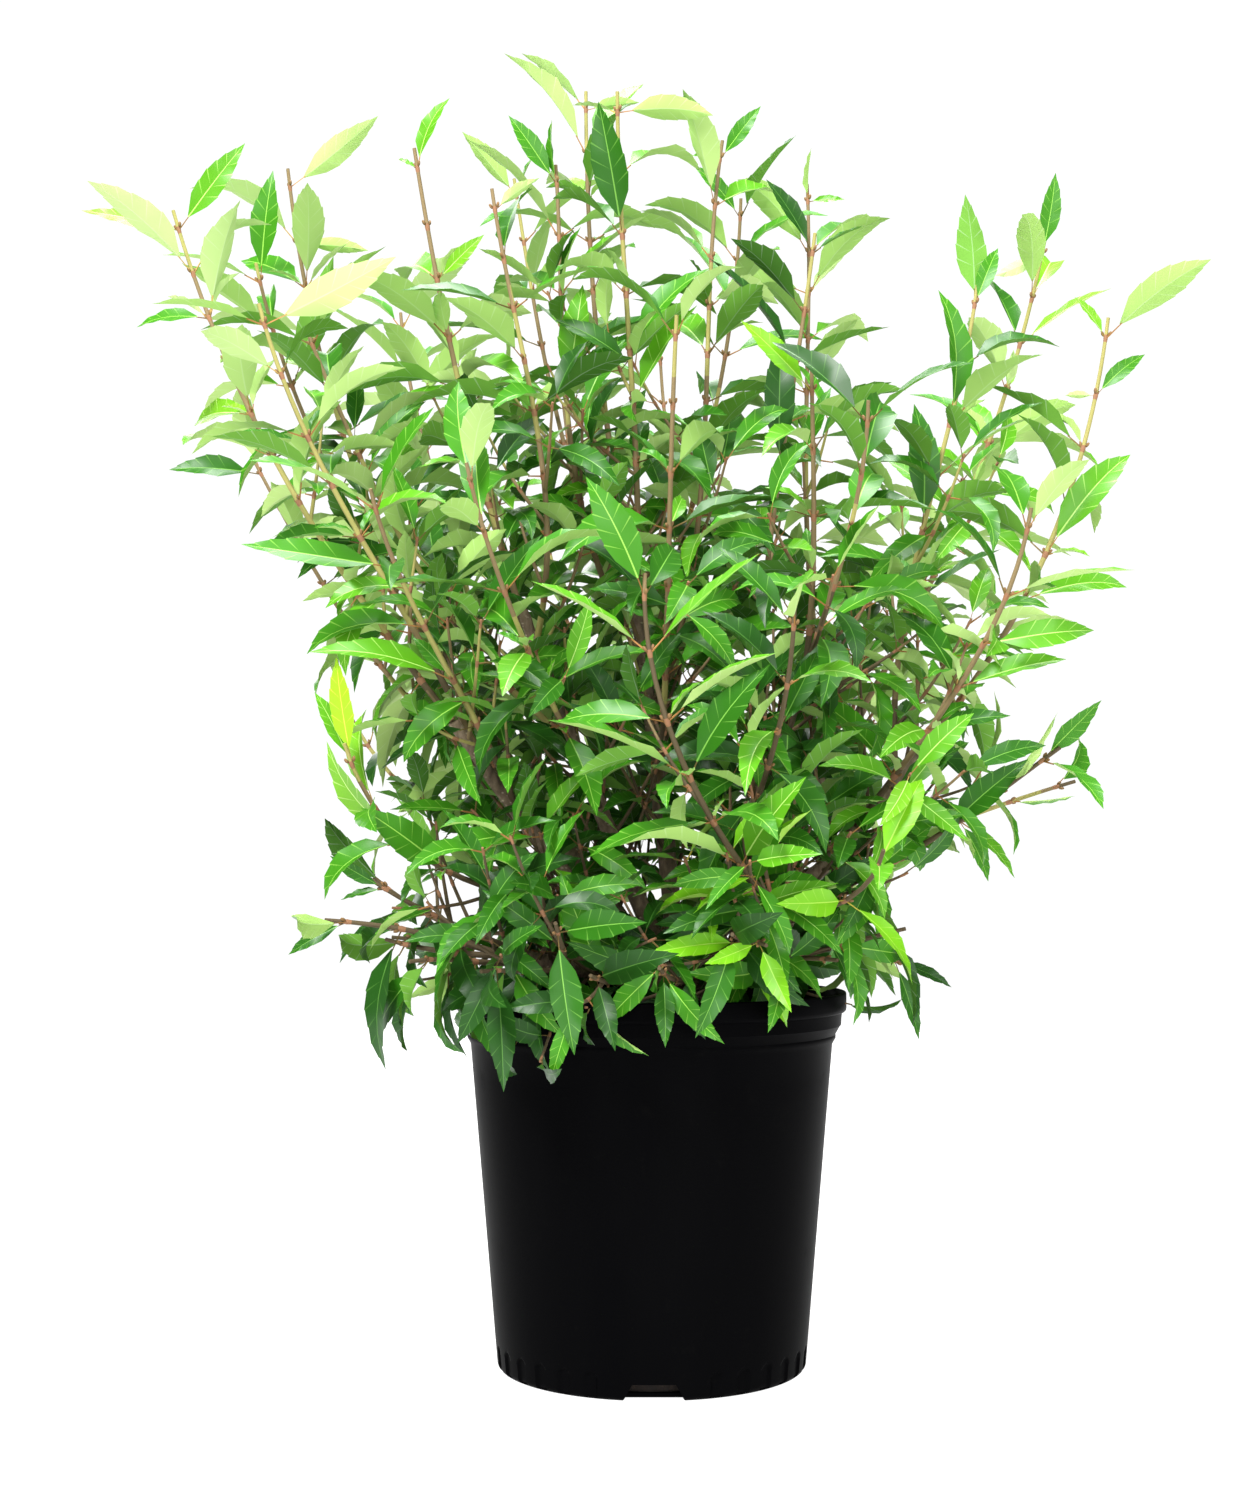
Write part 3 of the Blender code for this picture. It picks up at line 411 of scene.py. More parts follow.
SHOOTS = (
    Shoot("shoot_left_outer", "bough_left", 1.0, (-0.282, -0.020, 0.677)),
    Shoot("shoot_left_front", "bough_left", 0.86, (-0.217, -0.105, 0.600)),
    Shoot("shoot_left_short", "bough_left", 0.70, (-0.150, -0.150, 0.490)),
    Shoot("shoot_left_low", "bough_left", 0.36, (-0.166, -0.125, 0.357), 2.2, 0.3),
    Shoot("shoot_left_back", "bough_back_left", 0.80, (-0.243, 0.040, 0.662)),
    Shoot("shoot_left_tall", "bough_back_left", 1.0, (-0.229, 0.075, 0.732)),
    Shoot("shoot_left_rear", "bough_back_left", 0.62, (-0.262, 0.150, 0.560)),
    Shoot("shoot_back_left", "bough_back_left", 0.90, (-0.170, 0.205, 0.672)),
    Shoot("shoot_back_left_low", "bough_back_left", 0.34, (-0.205, 0.165, 0.405), 2.0, 0.3),
    Shoot("shoot_left_inner", "bough_centre_left", 1.0, (-0.139, -0.030, 0.711)),
    Shoot("shoot_left_middle", "bough_centre_left", 0.62, (-0.205, -0.010, 0.610)),
    Shoot("shoot_front_left", "bough_centre_left", 0.88, (-0.091, -0.072, 0.674)),
    Shoot("shoot_front_left_low", "bough_centre_left", 0.42, (-0.098, -0.172, 0.500), 1.9, 0.2),
    Shoot("shoot_middle_left", "bough_centre", 0.76, (-0.058, 0.036, 0.722)),
    Shoot("shoot_middle_front", "bough_centre", 0.90, (-0.020, -0.032, 0.744)),
    Shoot("shoot_top", "bough_centre", 1.0, (-0.040, 0.076, 0.782)),
    Shoot("shoot_middle_right", "bough_centre", 0.60, (0.044, 0.020, 0.732)),
    Shoot("shoot_front_upper", "bough_centre", 0.42, (0.012, -0.128, 0.588), 1.8, 0.2),
    Shoot("shoot_front_right", "bough_centre_right", 1.0, (0.086, -0.112, 0.562), 1.4, 0.3),
    Shoot("shoot_front_right_outer", "bough_centre_right", 0.80, (0.112, -0.155, 0.536), 1.5, 0.3),
    Shoot("shoot_right_inner", "bough_centre_right", 0.62, (0.098, -0.004, 0.668)),
    Shoot("shoot_front_right_low", "bough_centre_right", 0.40, (0.070, -0.190, 0.424), 2.2, 0.2),
    Shoot("shoot_right_outer", "bough_right", 1.0, (0.268, -0.024, 0.612)),
    Shoot("shoot_right_middle", "bough_right", 0.84, (0.188, -0.044, 0.626), 1.2, 0.6),
    Shoot("shoot_right_front", "bough_right", 0.66, (0.198, -0.150, 0.480), 1.8, 0.3),
    Shoot("shoot_right_low_front", "bough_right", 0.40, (0.222, -0.100, 0.356), 1.2, 0.8),
    Shoot("shoot_right_tall", "bough_back_right", 1.0, (0.252, 0.078, 0.690)),
    Shoot("shoot_right_back_top", "bough_back_right", 0.84, (0.106, 0.140, 0.742), 0.9, 0.6),
    Shoot("shoot_right_low", "bough_back_right", 0.32, (0.258, 0.034, 0.342), 1.2, 0.8),
    Shoot("shoot_right_rear", "bough_back_right", 0.68, (0.232, 0.160, 0.572)),
    Shoot("shoot_back_right", "bough_back_right", 0.50, (0.160, 0.222, 0.470), 2.0, 0.3),
    Shoot("shoot_back_top_left", "bough_back", 0.86, (-0.088, 0.128, 0.742)),
    Shoot("shoot_back_top_right", "bough_back", 1.0, (0.060, 0.105, 0.722)),
    Shoot("shoot_back_middle", "bough_back", 0.72, (0.010, 0.235, 0.655)),
    Shoot("shoot_back_outer", "bough_back", 0.46, (-0.070, 0.240, 0.520), 2.0, 0.3),
    Shoot("shoot_back_low", "bough_back", 0.28, (0.082, 0.215, 0.372), 2.2, 0.3),
    Shoot("shoot_front", "bough_front", 1.0, (-0.006, -0.192, 0.440), 5.0, 0.1),
    Shoot("shoot_front_low", "bough_front", 0.60, (0.118, -0.160, 0.300), 2.0, 0.3),
    Shoot("shoot_rim_left", "bough_low_left", 1.0, (-0.179, -0.102, 0.262), 1.2, 0.8),
    Shoot("shoot_rim_left_back", "bough_low_left", 0.35, (-0.166, 0.022, 0.284), 1.2, 0.8),
    Shoot("shoot_rim_front", "bough_low_left", 0.62, (-0.052, -0.158, 0.262), 1.4, 0.5),
    Shoot("shoot_rim_right", "bough_low_right", 1.0, (0.158, 0.024, 0.232), 1.6, 1.6, 0.62),
    Shoot("shoot_rim_front_right", "bough_low_right", 0.55, (0.040, -0.150, 0.256), 1.4, 0.5),
    Shoot("shoot_rim_back", "bough_low_back", 1.0, (-0.086, 0.186, 0.300), 1.4, 0.5),
    Shoot("shoot_rim_back_right", "bough_low_back", 0.50, (0.078, 0.162, 0.286), 1.4, 0.5),
)

# Short shoots round the pot's rim that only the scene has
SPRIGS = (
    Shoot("sprig_rim_front_left", "bough_low_left", 0.80, (-0.132, -0.112, 0.240), 1.4, 0.8),
    Shoot("sprig_rim_near_left", "bough_low_left", 0.50, (-0.092, -0.136, 0.236), 1.4, 0.8),
    Shoot("sprig_rim_near", "bough_low_left", 0.30, (-0.034, -0.140, 0.234), 1.4, 0.8),
    Shoot("sprig_rim_near_middle", "bough_front", 0.20, (0.002, -0.144, 0.238), 1.4, 0.8),
    Shoot("sprig_rim_near_right", "bough_front", 0.40, (0.058, -0.146, 0.250), 1.4, 0.8),
    Shoot("sprig_rim_front_right", "bough_low_right", 0.30, (0.100, -0.098, 0.240), 1.4, 0.8),
    Shoot("sprig_rim_upper_left", "bough_low_left", 0.70, (-0.161, -0.060, 0.285), 1.2, 0.8),
    Shoot("sprig_rim_left", "bough_low_left", 0.95, (-0.150, -0.062, 0.250), 1.4, 0.8),
    Shoot("sprig_rim_low_left", "bough_left", 0.05, (-0.150, -0.030, 0.250), 1.4, 0.8),
    Shoot("sprig_rim_right", "bough_right", 0.05, (0.142, -0.062, 0.256), 1.4, 0.8),
    Shoot("sprig_rim_far_left", "bough_low_back", 0.80, (-0.128, 0.104, 0.246), 1.4, 0.8),
    Shoot("sprig_rim_far", "bough_low_back", 0.60, (0.012, 0.150, 0.242), 1.4, 0.8),
    Shoot("sprig_rim_far_right", "bough_low_right", 0.80, (0.126, 0.092, 0.244), 1.4, 0.8),
)


@dataclass(frozen=True)
class Accent:
    """A leaf with a place of its own for its tip.

    node counts the pairs from the cane's tip down. show is how far its upper side is turned towards the
    front, or its underside where it is negative.
    """

    shoot: str
    node: int
    tip: Point
    show: float
    tint: Tint | None = None


def accents(shoot: str, *rows: tuple) -> tuple[Accent, ...]:
    """The accents of one shoot, from rows of node, the tip's x, y and z, show, and any tint of its own."""
    return tuple(Accent(shoot, node, (x, y, z), *others) for node, x, y, z, *others in rows)


# Gaps in which the sky shows from the front: across, up and radius at the depth of the pot's middle
SKY_GAPS = (
    (0.142, 0.644, 0.025), (0.177, 0.270, 0.022), (-0.113, 0.696, 0.018), (0.168, 0.665, 0.019),
    (0.156, 0.598, 0.016), (0.014, 0.595, 0.014), (-0.272, 0.588, 0.015), (-0.262, 0.516, 0.014),
    (0.165, 0.247, 0.016), (0.000, 0.737, 0.012), (0.238, 0.579, 0.011), (-0.174, 0.221, 0.014),
    (-0.116, 0.673, 0.011), (0.012, 0.574, 0.013), (0.012, 0.656, 0.011), (-0.113, 0.272, 0.012),
    (-0.104, 0.642, 0.010), (-0.065, 0.607, 0.011), (0.056, 0.526, 0.011), (-0.146, 0.305, 0.011),
    (-0.172, 0.272, 0.012), (0.052, 0.680, 0.010), (-0.072, 0.596, 0.010), (-0.227, 0.563, 0.010),
    (-0.165, 0.690, 0.012), (0.151, 0.273, 0.011), (0.010, 0.703, 0.011),
)

ACCENTS = (
    *accents(
        "shoot_left_outer",
        (0, -0.334, -0.030, 0.674, 0.3), (0, -0.238, -0.030, 0.714, 0.8), (1, -0.303, -0.020, 0.607, 0.4),
    ),
    *accents(
        "shoot_left_back",
        (0, -0.231, 0.030, 0.717, 0.8), (0, -0.300, 0.030, 0.664, -0.3), (1, -0.182, 0.030, 0.702, -0.5),
    ),
    *accents(
        "shoot_left_front",
        (0, -0.274, -0.115, 0.597, -0.3), (0, -0.140, -0.120, 0.622, -0.4), (2, -0.242, -0.110, 0.525, 0.2),
    ),
    *accents("shoot_left_rear", (0, -0.316, 0.140, 0.551, 0.5)),
    *accents("shoot_left_tall", (0, -0.170, 0.060, 0.761, -0.6), (1, -0.177, 0.070, 0.678, -0.6)),
    *accents(
        "shoot_left_inner",
        (0, -0.118, -0.030, 0.741, 0.6), (0, -0.149, -0.030, 0.705, 0.5), (1, -0.097, -0.040, 0.657, 0.8),
    ),
    *accents(
        "shoot_front_left",
        (0, -0.064, -0.070, 0.681, -0.5), (2, -0.141, -0.090, 0.611, 0.1), (2, -0.026, -0.090, 0.625, 0.2),
    ),
    *accents("shoot_back_top_left", (0, -0.122, 0.120, 0.771, -0.6), (0, -0.072, 0.120, 0.759, 0.5)),
    *accents("shoot_middle_left", (0, -0.060, 0.030, 0.750, 0.5), (0, -0.087, 0.030, 0.751, 0.3)),
    *accents("shoot_top", (0, -0.082, 0.090, 0.812, -0.5), (0, -0.006, 0.070, 0.773, 0.3)),
    *accents(
        "shoot_middle_front",
        (0, 0.036, -0.040, 0.727, -0.3), (0, -0.047, -0.020, 0.740, -0.2), (1, -0.031, -0.050, 0.732, 0.9),
    ),
    *accents("shoot_middle_right", (0, 0.067, 0.010, 0.750, 0.8), (0, 0.025, 0.020, 0.723, 0.6)),
    *accents("shoot_back_top_right", (0, 0.029, 0.100, 0.742, 0.6)),
    *accents("shoot_right_back_top", (0, 0.108, 0.130, 0.764, 0.3), (0, 0.130, 0.130, 0.729, 0.4)),
    *accents(
        "shoot_right_inner",
        (0, 0.069, 0.000, 0.702, 0.3), (0, 0.129, 0.000, 0.674, 0.5), (1, 0.142, -0.010, 0.610, 0.3),
        (1, 0.027, 0.000, 0.662, 0.3), (2, 0.079, 0.000, 0.660, 0.6),
    ),
    *accents("shoot_front_right", (0, 0.047, -0.120, 0.587, 0.9, Tint.LIME)),
    *accents(
        "shoot_middle_left",
        (1, 0.001, 0.030, 0.690, 0.5), (3, 0.001, 0.030, 0.617, 0.5), (3, -0.041, 0.030, 0.646, 0.6),
    ),
    *accents("shoot_middle_front", (3, 0.035, -0.030, 0.640, 0.6), (4, 0.027, -0.030, 0.618, 0.5)),
    *accents(
        "shoot_right_middle",
        (0, 0.182, -0.040, 0.681, -0.6), (0, 0.201, -0.040, 0.649, 0.7), (1, 0.164, -0.050, 0.622, -0.2),
        (2, 0.223, -0.050, 0.549, 0.2),
    ),
    *accents(
        "shoot_right_tall",
        (0, 0.257, 0.070, 0.728, 0.8), (0, 0.218, 0.070, 0.662, -0.5), (1, 0.292, 0.070, 0.654, 0.5),
    ),
    *accents(
        "shoot_right_outer",
        (0, 0.247, -0.030, 0.623, 0.4), (1, 0.288, -0.030, 0.589, 0.7), (1, 0.241, -0.030, 0.565, -0.6),
        (3, 0.279, -0.030, 0.530, 0.6), (4, 0.276, -0.030, 0.452, 0.5),
    ),
    *accents("shoot_right_low_front", (0, 0.245, -0.100, 0.382, 0.5), (1, 0.219, -0.110, 0.375, 0.4)),
    *accents(
        "shoot_right_low",
        (1, 0.256, 0.020, 0.333, 0.5), (2, 0.220, 0.030, 0.283, 0.5), (2, 0.204, 0.030, 0.281, 0.5),
    ),
    *accents("shoot_right_front", (2, 0.235, -0.130, 0.417, 0.5), (4, 0.192, -0.120, 0.372, 0.5)),
    *accents("shoot_right_low_front", (2, 0.205, -0.100, 0.350, 0.5)),
    *accents("shoot_right_outer", (5, 0.222, -0.030, 0.415, 0.4)),
    *accents("shoot_right_middle", (3, 0.150, -0.050, 0.556, 0.5)),
    *accents("shoot_right_front", (3, 0.221, -0.125, 0.402, 0.4)),
    *accents("shoot_rim_right", (0, 0.180, 0.020, 0.218, 0.5), (0, 0.160, 0.018, 0.187, 0.5)),
    *accents("shoot_left_short", (1, -0.220, -0.140, 0.462, 0.4), (3, -0.193, -0.140, 0.406, 0.4)),
    *accents("shoot_front_right_low", (0, 0.074, -0.259, 0.432, 0.6)),
    *accents("shoot_back_outer", (0, -0.078, 0.292, 0.535, 0.3)),
    *accents(
        "shoot_front",
        (0, -0.036, -0.200, 0.488, 0.9), (1, -0.064, -0.200, 0.435, 0.3), (1, 0.052, -0.200, 0.449, 0.3),
        (2, -0.059, -0.200, 0.366, 0.3), (2, 0.058, -0.200, 0.394, 0.4), (3, -0.037, -0.200, 0.304, -0.2),
        (3, 0.076, -0.200, 0.338, 0.5), (0, 0.010, -0.140, 0.460, 0.9),
    ),
    *accents(
        "shoot_left_low",
        (0, -0.170, -0.130, 0.403, 0.6, Tint.YOUNG), (0, -0.183, -0.120, 0.385, 0.4),
        (1, -0.176, -0.120, 0.359, 0.4), (2, -0.158, -0.120, 0.323, 0.5),
    ),
    *accents("sprig_rim_upper_left", (0, -0.176, -0.060, 0.272, 0.5), (0, -0.182, -0.060, 0.297, 0.5)),
    *accents("shoot_rim_left", (0, -0.199, -0.100, 0.243, 0.6), (1, -0.145, -0.100, 0.180, 0.4)),
    *accents("shoot_rim_front", (0, -0.042, -0.160, 0.194, 0.9)),
    *accents("sprig_rim_near_left", (0, -0.079, -0.150, 0.174, 0.5)),
    *accents("sprig_rim_near", (0, -0.021, -0.150, 0.195, 0.6)),
    *accents("sprig_rim_near_middle", (0, 0.005, -0.150, 0.197, 0.7), (0, 0.036, -0.150, 0.199, 0.6)),
    *accents("sprig_rim_near_right", (0, 0.070, -0.160, 0.216, 0.9), (0, 0.025, -0.160, 0.241, 0.9)),
)


def across(direction: Vector) -> tuple[Vector, Vector]:
    """Two unit vectors that stand square to a direction and to each other."""
    helper = Vector((0, 0, 1)) if abs(direction.z) < 0.9 else Vector((1, 0, 0))
    first = direction.cross(helper).normalized()
    return first, direction.cross(first).normalized()


def radial(along: Vector, turn: float) -> Vector:
    """The unit vector square to a direction, at a turn about it."""
    side, up = across(along)
    return side * math.cos(turn) + up * math.sin(turn)


def smooth_step(value: np.ndarray | float) -> np.ndarray | float:
    """An even rise from 0 to 1."""
    clipped = np.clip(value, 0.0, 1.0)
    return clipped * clipped * (3 - 2 * clipped)


@dataclass
class Course:
    """A limb's centre line, evenly spaced along its curve, with the radius at each station."""

    path: list[Vector]
    foot_radius: float
    tip_radius: float
    buds: list[float] = field(default_factory=list)

    @staticmethod
    def cubic(handles: Sequence[Vector], stations: int, foot: float, tip: float) -> "Course":
        """A course along a cubic curve.

        Args:
            handles: The start, the two handles and the end.
            stations: How many points it gets.
            foot: The radius at its start.
            tip: The radius at its end.

        Returns:
            The course.
        """
        start, leave, arrive, end = handles
        path = []
        for index in range(stations):
            t = index / (stations - 1)
            s = 1 - t
            path.append(start * s**3 + leave * 3 * t * s**2 + arrive * 3 * t**2 * s + end * t**3)
        return Course(path, foot, tip)

    def length(self) -> float:
        """The length along the stations."""
        return sum((b - a).length for a, b in zip(self.path, self.path[1:]))

    def point(self, share: float) -> tuple[Vector, Vector, float]:
        """A place on the limb.

        Args:
            share: The share of the way along.

        Returns:
            The point, the limb's direction and its radius there.
        """
        place = min(max(share, 0.0), 1.0) * (len(self.path) - 1)
        index = min(int(place), len(self.path) - 2)
        start, end = self.path[index], self.path[index + 1]
        radius = self.foot_radius + share * (self.tip_radius - self.foot_radius)
        return start.lerp(end, place - index), (end - start).normalized(), radius


@dataclass
class Leaf:
    """One leaf: where its petiole starts, the way it sets out, the way it faces, and its form."""

    root: Vector
    way: Vector
    face: Vector
    length: float
    width: float
    droop: float
    fold: float
    twist: float
    sway: float
    wave: float
    phase: float
    tint: Tint = Tint.MID

    def row(self) -> list[float]:
        """The leaf as numbers, for arrays."""
        form = [self.length, self.width, self.droop, self.fold, self.twist, self.sway, self.wave, self.phase]
        return [*self.root, *self.way, *self.face, *form]


@dataclass
class Pattern:
    """A small mesh as arrays, which is repeated many times in one joined mesh."""

    points: np.ndarray
    corners: np.ndarray
    sizes: np.ndarray
    slots: np.ndarray

    @staticmethod
    def of(bm: bmesh.types.BMesh) -> "Pattern":
        """Reads a bmesh into arrays and frees it.

        Args:
            bm: The bmesh.

        Returns:
            The pattern.
        """
        bm.verts.index_update()
        points = np.array([vertex.co[:] for vertex in bm.verts])
        corners = np.array([vertex.index for face in bm.faces for vertex in face.verts])
        sizes = np.array([len(face.verts) for face in bm.faces])
        slots = np.array([face.material_index for face in bm.faces])
        bm.free()
        return Pattern(points, corners, sizes, slots)


@dataclass
class JoinedMesh:
    """Collects copies of patterns into one mesh."""

    points: list[np.ndarray] = field(default_factory=list)
    corners: list[np.ndarray] = field(default_factory=list)
    sizes: list[np.ndarray] = field(default_factory=list)
    slots: list[np.ndarray] = field(default_factory=list)
    count: int = 0

    def add(self, pattern: Pattern, placed: np.ndarray, slot_start: np.ndarray) -> None:
        """Adds a copy of the pattern for each row of placed points.

        Args:
            pattern: The small mesh.
            placed: Copies by points by three.
            slot_start: Each copy's first material slot.
        """
        copies, size = placed.shape[:2]
        starts = self.count + size * np.arange(copies)
        self.points.append(placed.reshape(-1, 3))
        self.corners.append((pattern.corners[None] + starts[:, None]).ravel())
        self.sizes.append(np.tile(pattern.sizes, copies))
        self.slots.append((pattern.slots[None] + slot_start[:, None]).ravel())
        self.count += copies * size

    def build(self, name: str, finishes: Iterable[bpy.types.Material], sharp: float) -> bpy.types.Object:
        """Makes the object.

        Args:
            name: The piece's name.
            finishes: Its materials, in slot order.
            sharp: The angle past which an edge is shaded sharp.

        Returns:
            The new object.
        """
        mesh = bpy.data.meshes.new(name)
        points = np.concatenate(self.points)
        corners = np.concatenate(self.corners).astype(np.int32)
        sizes = np.concatenate(self.sizes).astype(np.int32)
        mesh.vertices.add(len(points))
        mesh.vertices.foreach_set("co", points.astype(np.float32).ravel())
        mesh.loops.add(len(corners))
        mesh.loops.foreach_set("vertex_index", corners)
        mesh.polygons.add(len(sizes))
        mesh.polygons.foreach_set("loop_start", np.concatenate(([0], np.cumsum(sizes)[:-1])).astype(np.int32))
        mesh.polygons.foreach_set("material_index", np.concatenate(self.slots).astype(np.int32))
        mesh.polygons.foreach_set("use_smooth", np.ones(len(sizes), dtype=bool))
        mesh.update(calc_edges=True)
        for finish in finishes:
            mesh.materials.append(finish)
        mesh.set_sharp_from_angle(angle=sharp)
        return linked(name, mesh)


def linked(name: str, data: bpy.types.ID) -> bpy.types.Object:
    """A new object in the scene."""
    made = bpy.data.objects.new(name, data)
    bpy.context.scene.collection.objects.link(made)
    return made


def mesh_of(bm: bmesh.types.BMesh, name: str) -> bpy.types.Mesh:
    """A mesh with the bmesh's shape. The bmesh is freed."""
    mesh = bpy.data.meshes.new(name)
    bm.to_mesh(mesh)
    bm.free()
    return mesh


def evaluated(made: bpy.types.Object) -> bpy.types.Mesh:
    """The object's mesh with its modifiers applied. The object is removed."""
    bpy.context.view_layer.update()
    graph = bpy.context.evaluated_depsgraph_get()
    mesh = bpy.data.meshes.new_from_object(made.evaluated_get(graph))
    bpy.data.objects.remove(made, do_unlink=True)
    return mesh


def spun(profile: Profile, steps: int) -> bmesh.types.BMesh:
    """Turns a profile about Z.

    Args:
        profile: Points of (radius, height), the first and last on the axis.
        steps: How many steps make the full turn.

    Returns:
        The closed bmesh.
    """
    bm = bmesh.new()
    points = [bm.verts.new((radius, 0.0, height)) for radius, height in profile]
    edges = [bm.edges.new(pair) for pair in zip(points, points[1:])]
    bmesh.ops.spin(
        bm,
        geom=points + edges,
        axis=(0.0, 0.0, 1.0),
        cent=(0.0, 0.0, 0.0),
        angle=math.tau,
        steps=steps,
        use_merge=True,
    )
    bmesh.ops.remove_doubles(bm, verts=bm.verts, dist=WELD)
    bmesh.ops.dissolve_degenerate(bm, edges=bm.edges, dist=WELD)
    bmesh.ops.recalc_face_normals(bm, faces=bm.faces)
    return bm


def shifted(radius: float, height: float, form: Profile) -> list[tuple[float, float]]:
    """A form's points, given as steps outwards and upwards from a place of the profile."""
    return [(radius + out, height + up) for out, up in form]


def finer(profile: Profile, step: float) -> list[tuple[float, float]]:
    """Adds points to a profile.

    Args:
        profile: Points of (radius, height).
        step: The furthest that two neighbours may be apart.

    Returns:
        The finer profile.
    """
    result = [profile[0]]
    for start, end in zip(profile, profile[1:]):
        parts = max(1, math.ceil(math.dist(start, end) / step))
        for part in range(1, parts + 1):
            share = part / parts
            result.append(tuple(a + share * (b - a) for a, b in zip(start, end)))
    return result


@dataclass
class Pot:
    """The thin-walled pot: rolled lip, band, ridge, tapering wall, drainage notches and flutes."""

    height: float = 0.2177
    rim_radius: float = 0.1143
    lip_height: float = 0.0115
    lip_round: float = 0.0012
    band_radius: float = 0.1112
    band_height: float = 0.0075
    ridge_radius: float = 0.1076
    ridge_drop: float = 0.0255
    wall_top_radius: float = 0.1060
    wall_top_drop: float = 0.0300
    foot_radius: float = 0.0900
    foot_corner: float = 0.0040
    wall: float = 0.0018
    floor: float = 0.0024
    steps: int = 540
    base_step: float = 0.0010
    wall_step: float = 0.0200
    notches: int = 3
    notch_half_top: float = 0.012
    notch_half_foot: float = 0.018
    notch_height: float = 0.0095
    notch_reach: float = 0.0120
    flutes_between: int = 8
    first_flute: float = math.radians(22.5)
    flute_half: float = 0.0034
    flute_height: float = 0.0150
    flute_depth: float = 0.0013
    flute_edge: float = 0.0009
    cut_under: float = 0.002
    corner_turns: tuple[int, ...] = (0, 16, 32, 48, 64, 80)
    lip_turns: tuple[int, ...] = (0, 30, 60, 90)
    ridge_form: Profile = ((-0.0003, -0.0022), (0.0003, -0.0012), (0.0004, 0.0), (0.0002, 0.0010))
    band_foot_form: Profile = ((-0.0006, -0.0006), (0.0, 0.0), (0.0002, 0.0040))
    band_top_form: Profile = ((0.0006, -0.0002),)
    lip_form: Profile = ((-0.0010, 0.0002), (-0.0002, 0.0010), (0.0, 0.0024))
    inner_lip: Range = (0.0004, 0.0050)
    sharp: float = math.radians(38)

    def outside(self) -> list[tuple[float, float]]:
        """The outer profile from the middle of the underside to the top of the lip."""
        lip_foot = self.height - self.lip_height
        band_foot = lip_foot - self.band_height
        ridge = self.height - self.ridge_drop
        wall_top = self.height - self.wall_top_drop
        centre = self.foot_radius - self.foot_corner
        corner = [
            (centre + self.foot_corner * math.sin(turn), self.foot_corner * (1 - math.cos(turn)))
            for turn in map(math.radians, self.corner_turns)
        ]
        fluted_top = self.flute_height + 3 * self.flute_edge
        taper = (self.wall_top_radius - corner[-1][0]) / (wall_top - corner[-1][1])
        fluted = (corner[-1][0] + taper * (fluted_top - corner[-1][1]), fluted_top)
        half = 0.5 * self.wall
        lip_middle = self.rim_radius - half
        lip_side = self.height - self.lip_round
        return [
            (0.0, 0.0),
            (0.5 * centre, 0.0),
            *corner[:-1],
            *finer([corner[-1], fluted], self.base_step),
            *finer([fluted, (self.wall_top_radius, wall_top)], self.wall_step)[1:],
            *shifted(self.ridge_radius, ridge, self.ridge_form),
            *shifted(self.band_radius, band_foot, self.band_foot_form),
            *shifted(self.band_radius, lip_foot, self.band_top_form),
            *shifted(self.rim_radius, lip_foot, self.lip_form),
            *(
                (lip_middle + half * math.cos(turn), lip_side + self.lip_round * math.sin(turn))
                for turn in map(math.radians, self.lip_turns)
            ),
        ]

    def inside(self) -> list[tuple[float, float]]:
        """The inner profile from the top of the lip to the middle of the floor."""
        wall_top = self.height - self.wall_top_drop
        band_foot = self.height - self.lip_height - self.band_height
        inner = self.rim_radius - self.wall
        inset, drop = self.inner_lip
        return [
            (inner, self.height - self.lip_round),
            (inner - inset, self.height - drop),
            (self.band_radius - self.wall, self.height - self.lip_height),
            (self.band_radius - self.wall - inset, band_foot),
            (self.wall_top_radius - self.wall, wall_top),
            (self.foot_radius - self.wall, self.floor + self.foot_corner),
            (self.foot_radius - self.wall - self.foot_corner, self.floor),
            (0.0, self.floor),
        ]

    def notch_turns(self) -> list[float]:
        """The directions of the notches, the first at the front."""
        return [math.tau * index / self.notches - math.pi / 2 for index in range(self.notches)]

    def flute_turns(self) -> np.ndarray:
        """The directions of the flutes, spread evenly between each two notches."""
        pitch = (math.tau / self.notches - 2 * self.first_flute) / (self.flutes_between - 1)
        offsets = self.first_flute + pitch * np.arange(self.flutes_between)
        return np.concatenate([start + offsets for start in self.notch_turns()])

    def press_flutes(self, bm: bmesh.types.BMesh) -> None:
        """Moves the outer wall's foot inwards where the flutes are.

        Args:
            bm: The turned wall.
        """
        turns = self.flute_turns()
        inner = self.foot_radius - self.wall
        for vertex in bm.verts:
            x, y, z = vertex.co
            radius = math.hypot(x, y)
            if radius < inner or z > self.flute_height + self.flute_edge:
                continue
            apart = np.abs((math.atan2(y, x) - turns + math.pi) % math.tau - math.pi).min() * radius
            over = z - (self.flute_height - self.flute_half)
            reach = math.hypot(apart, over) if over > 0 else apart
            share = float(smooth_step((self.flute_half - reach) / self.flute_edge + 0.5))
            pressed = (radius - share * self.flute_depth) / radius
            vertex.co.x *= pressed
            vertex.co.y *= pressed

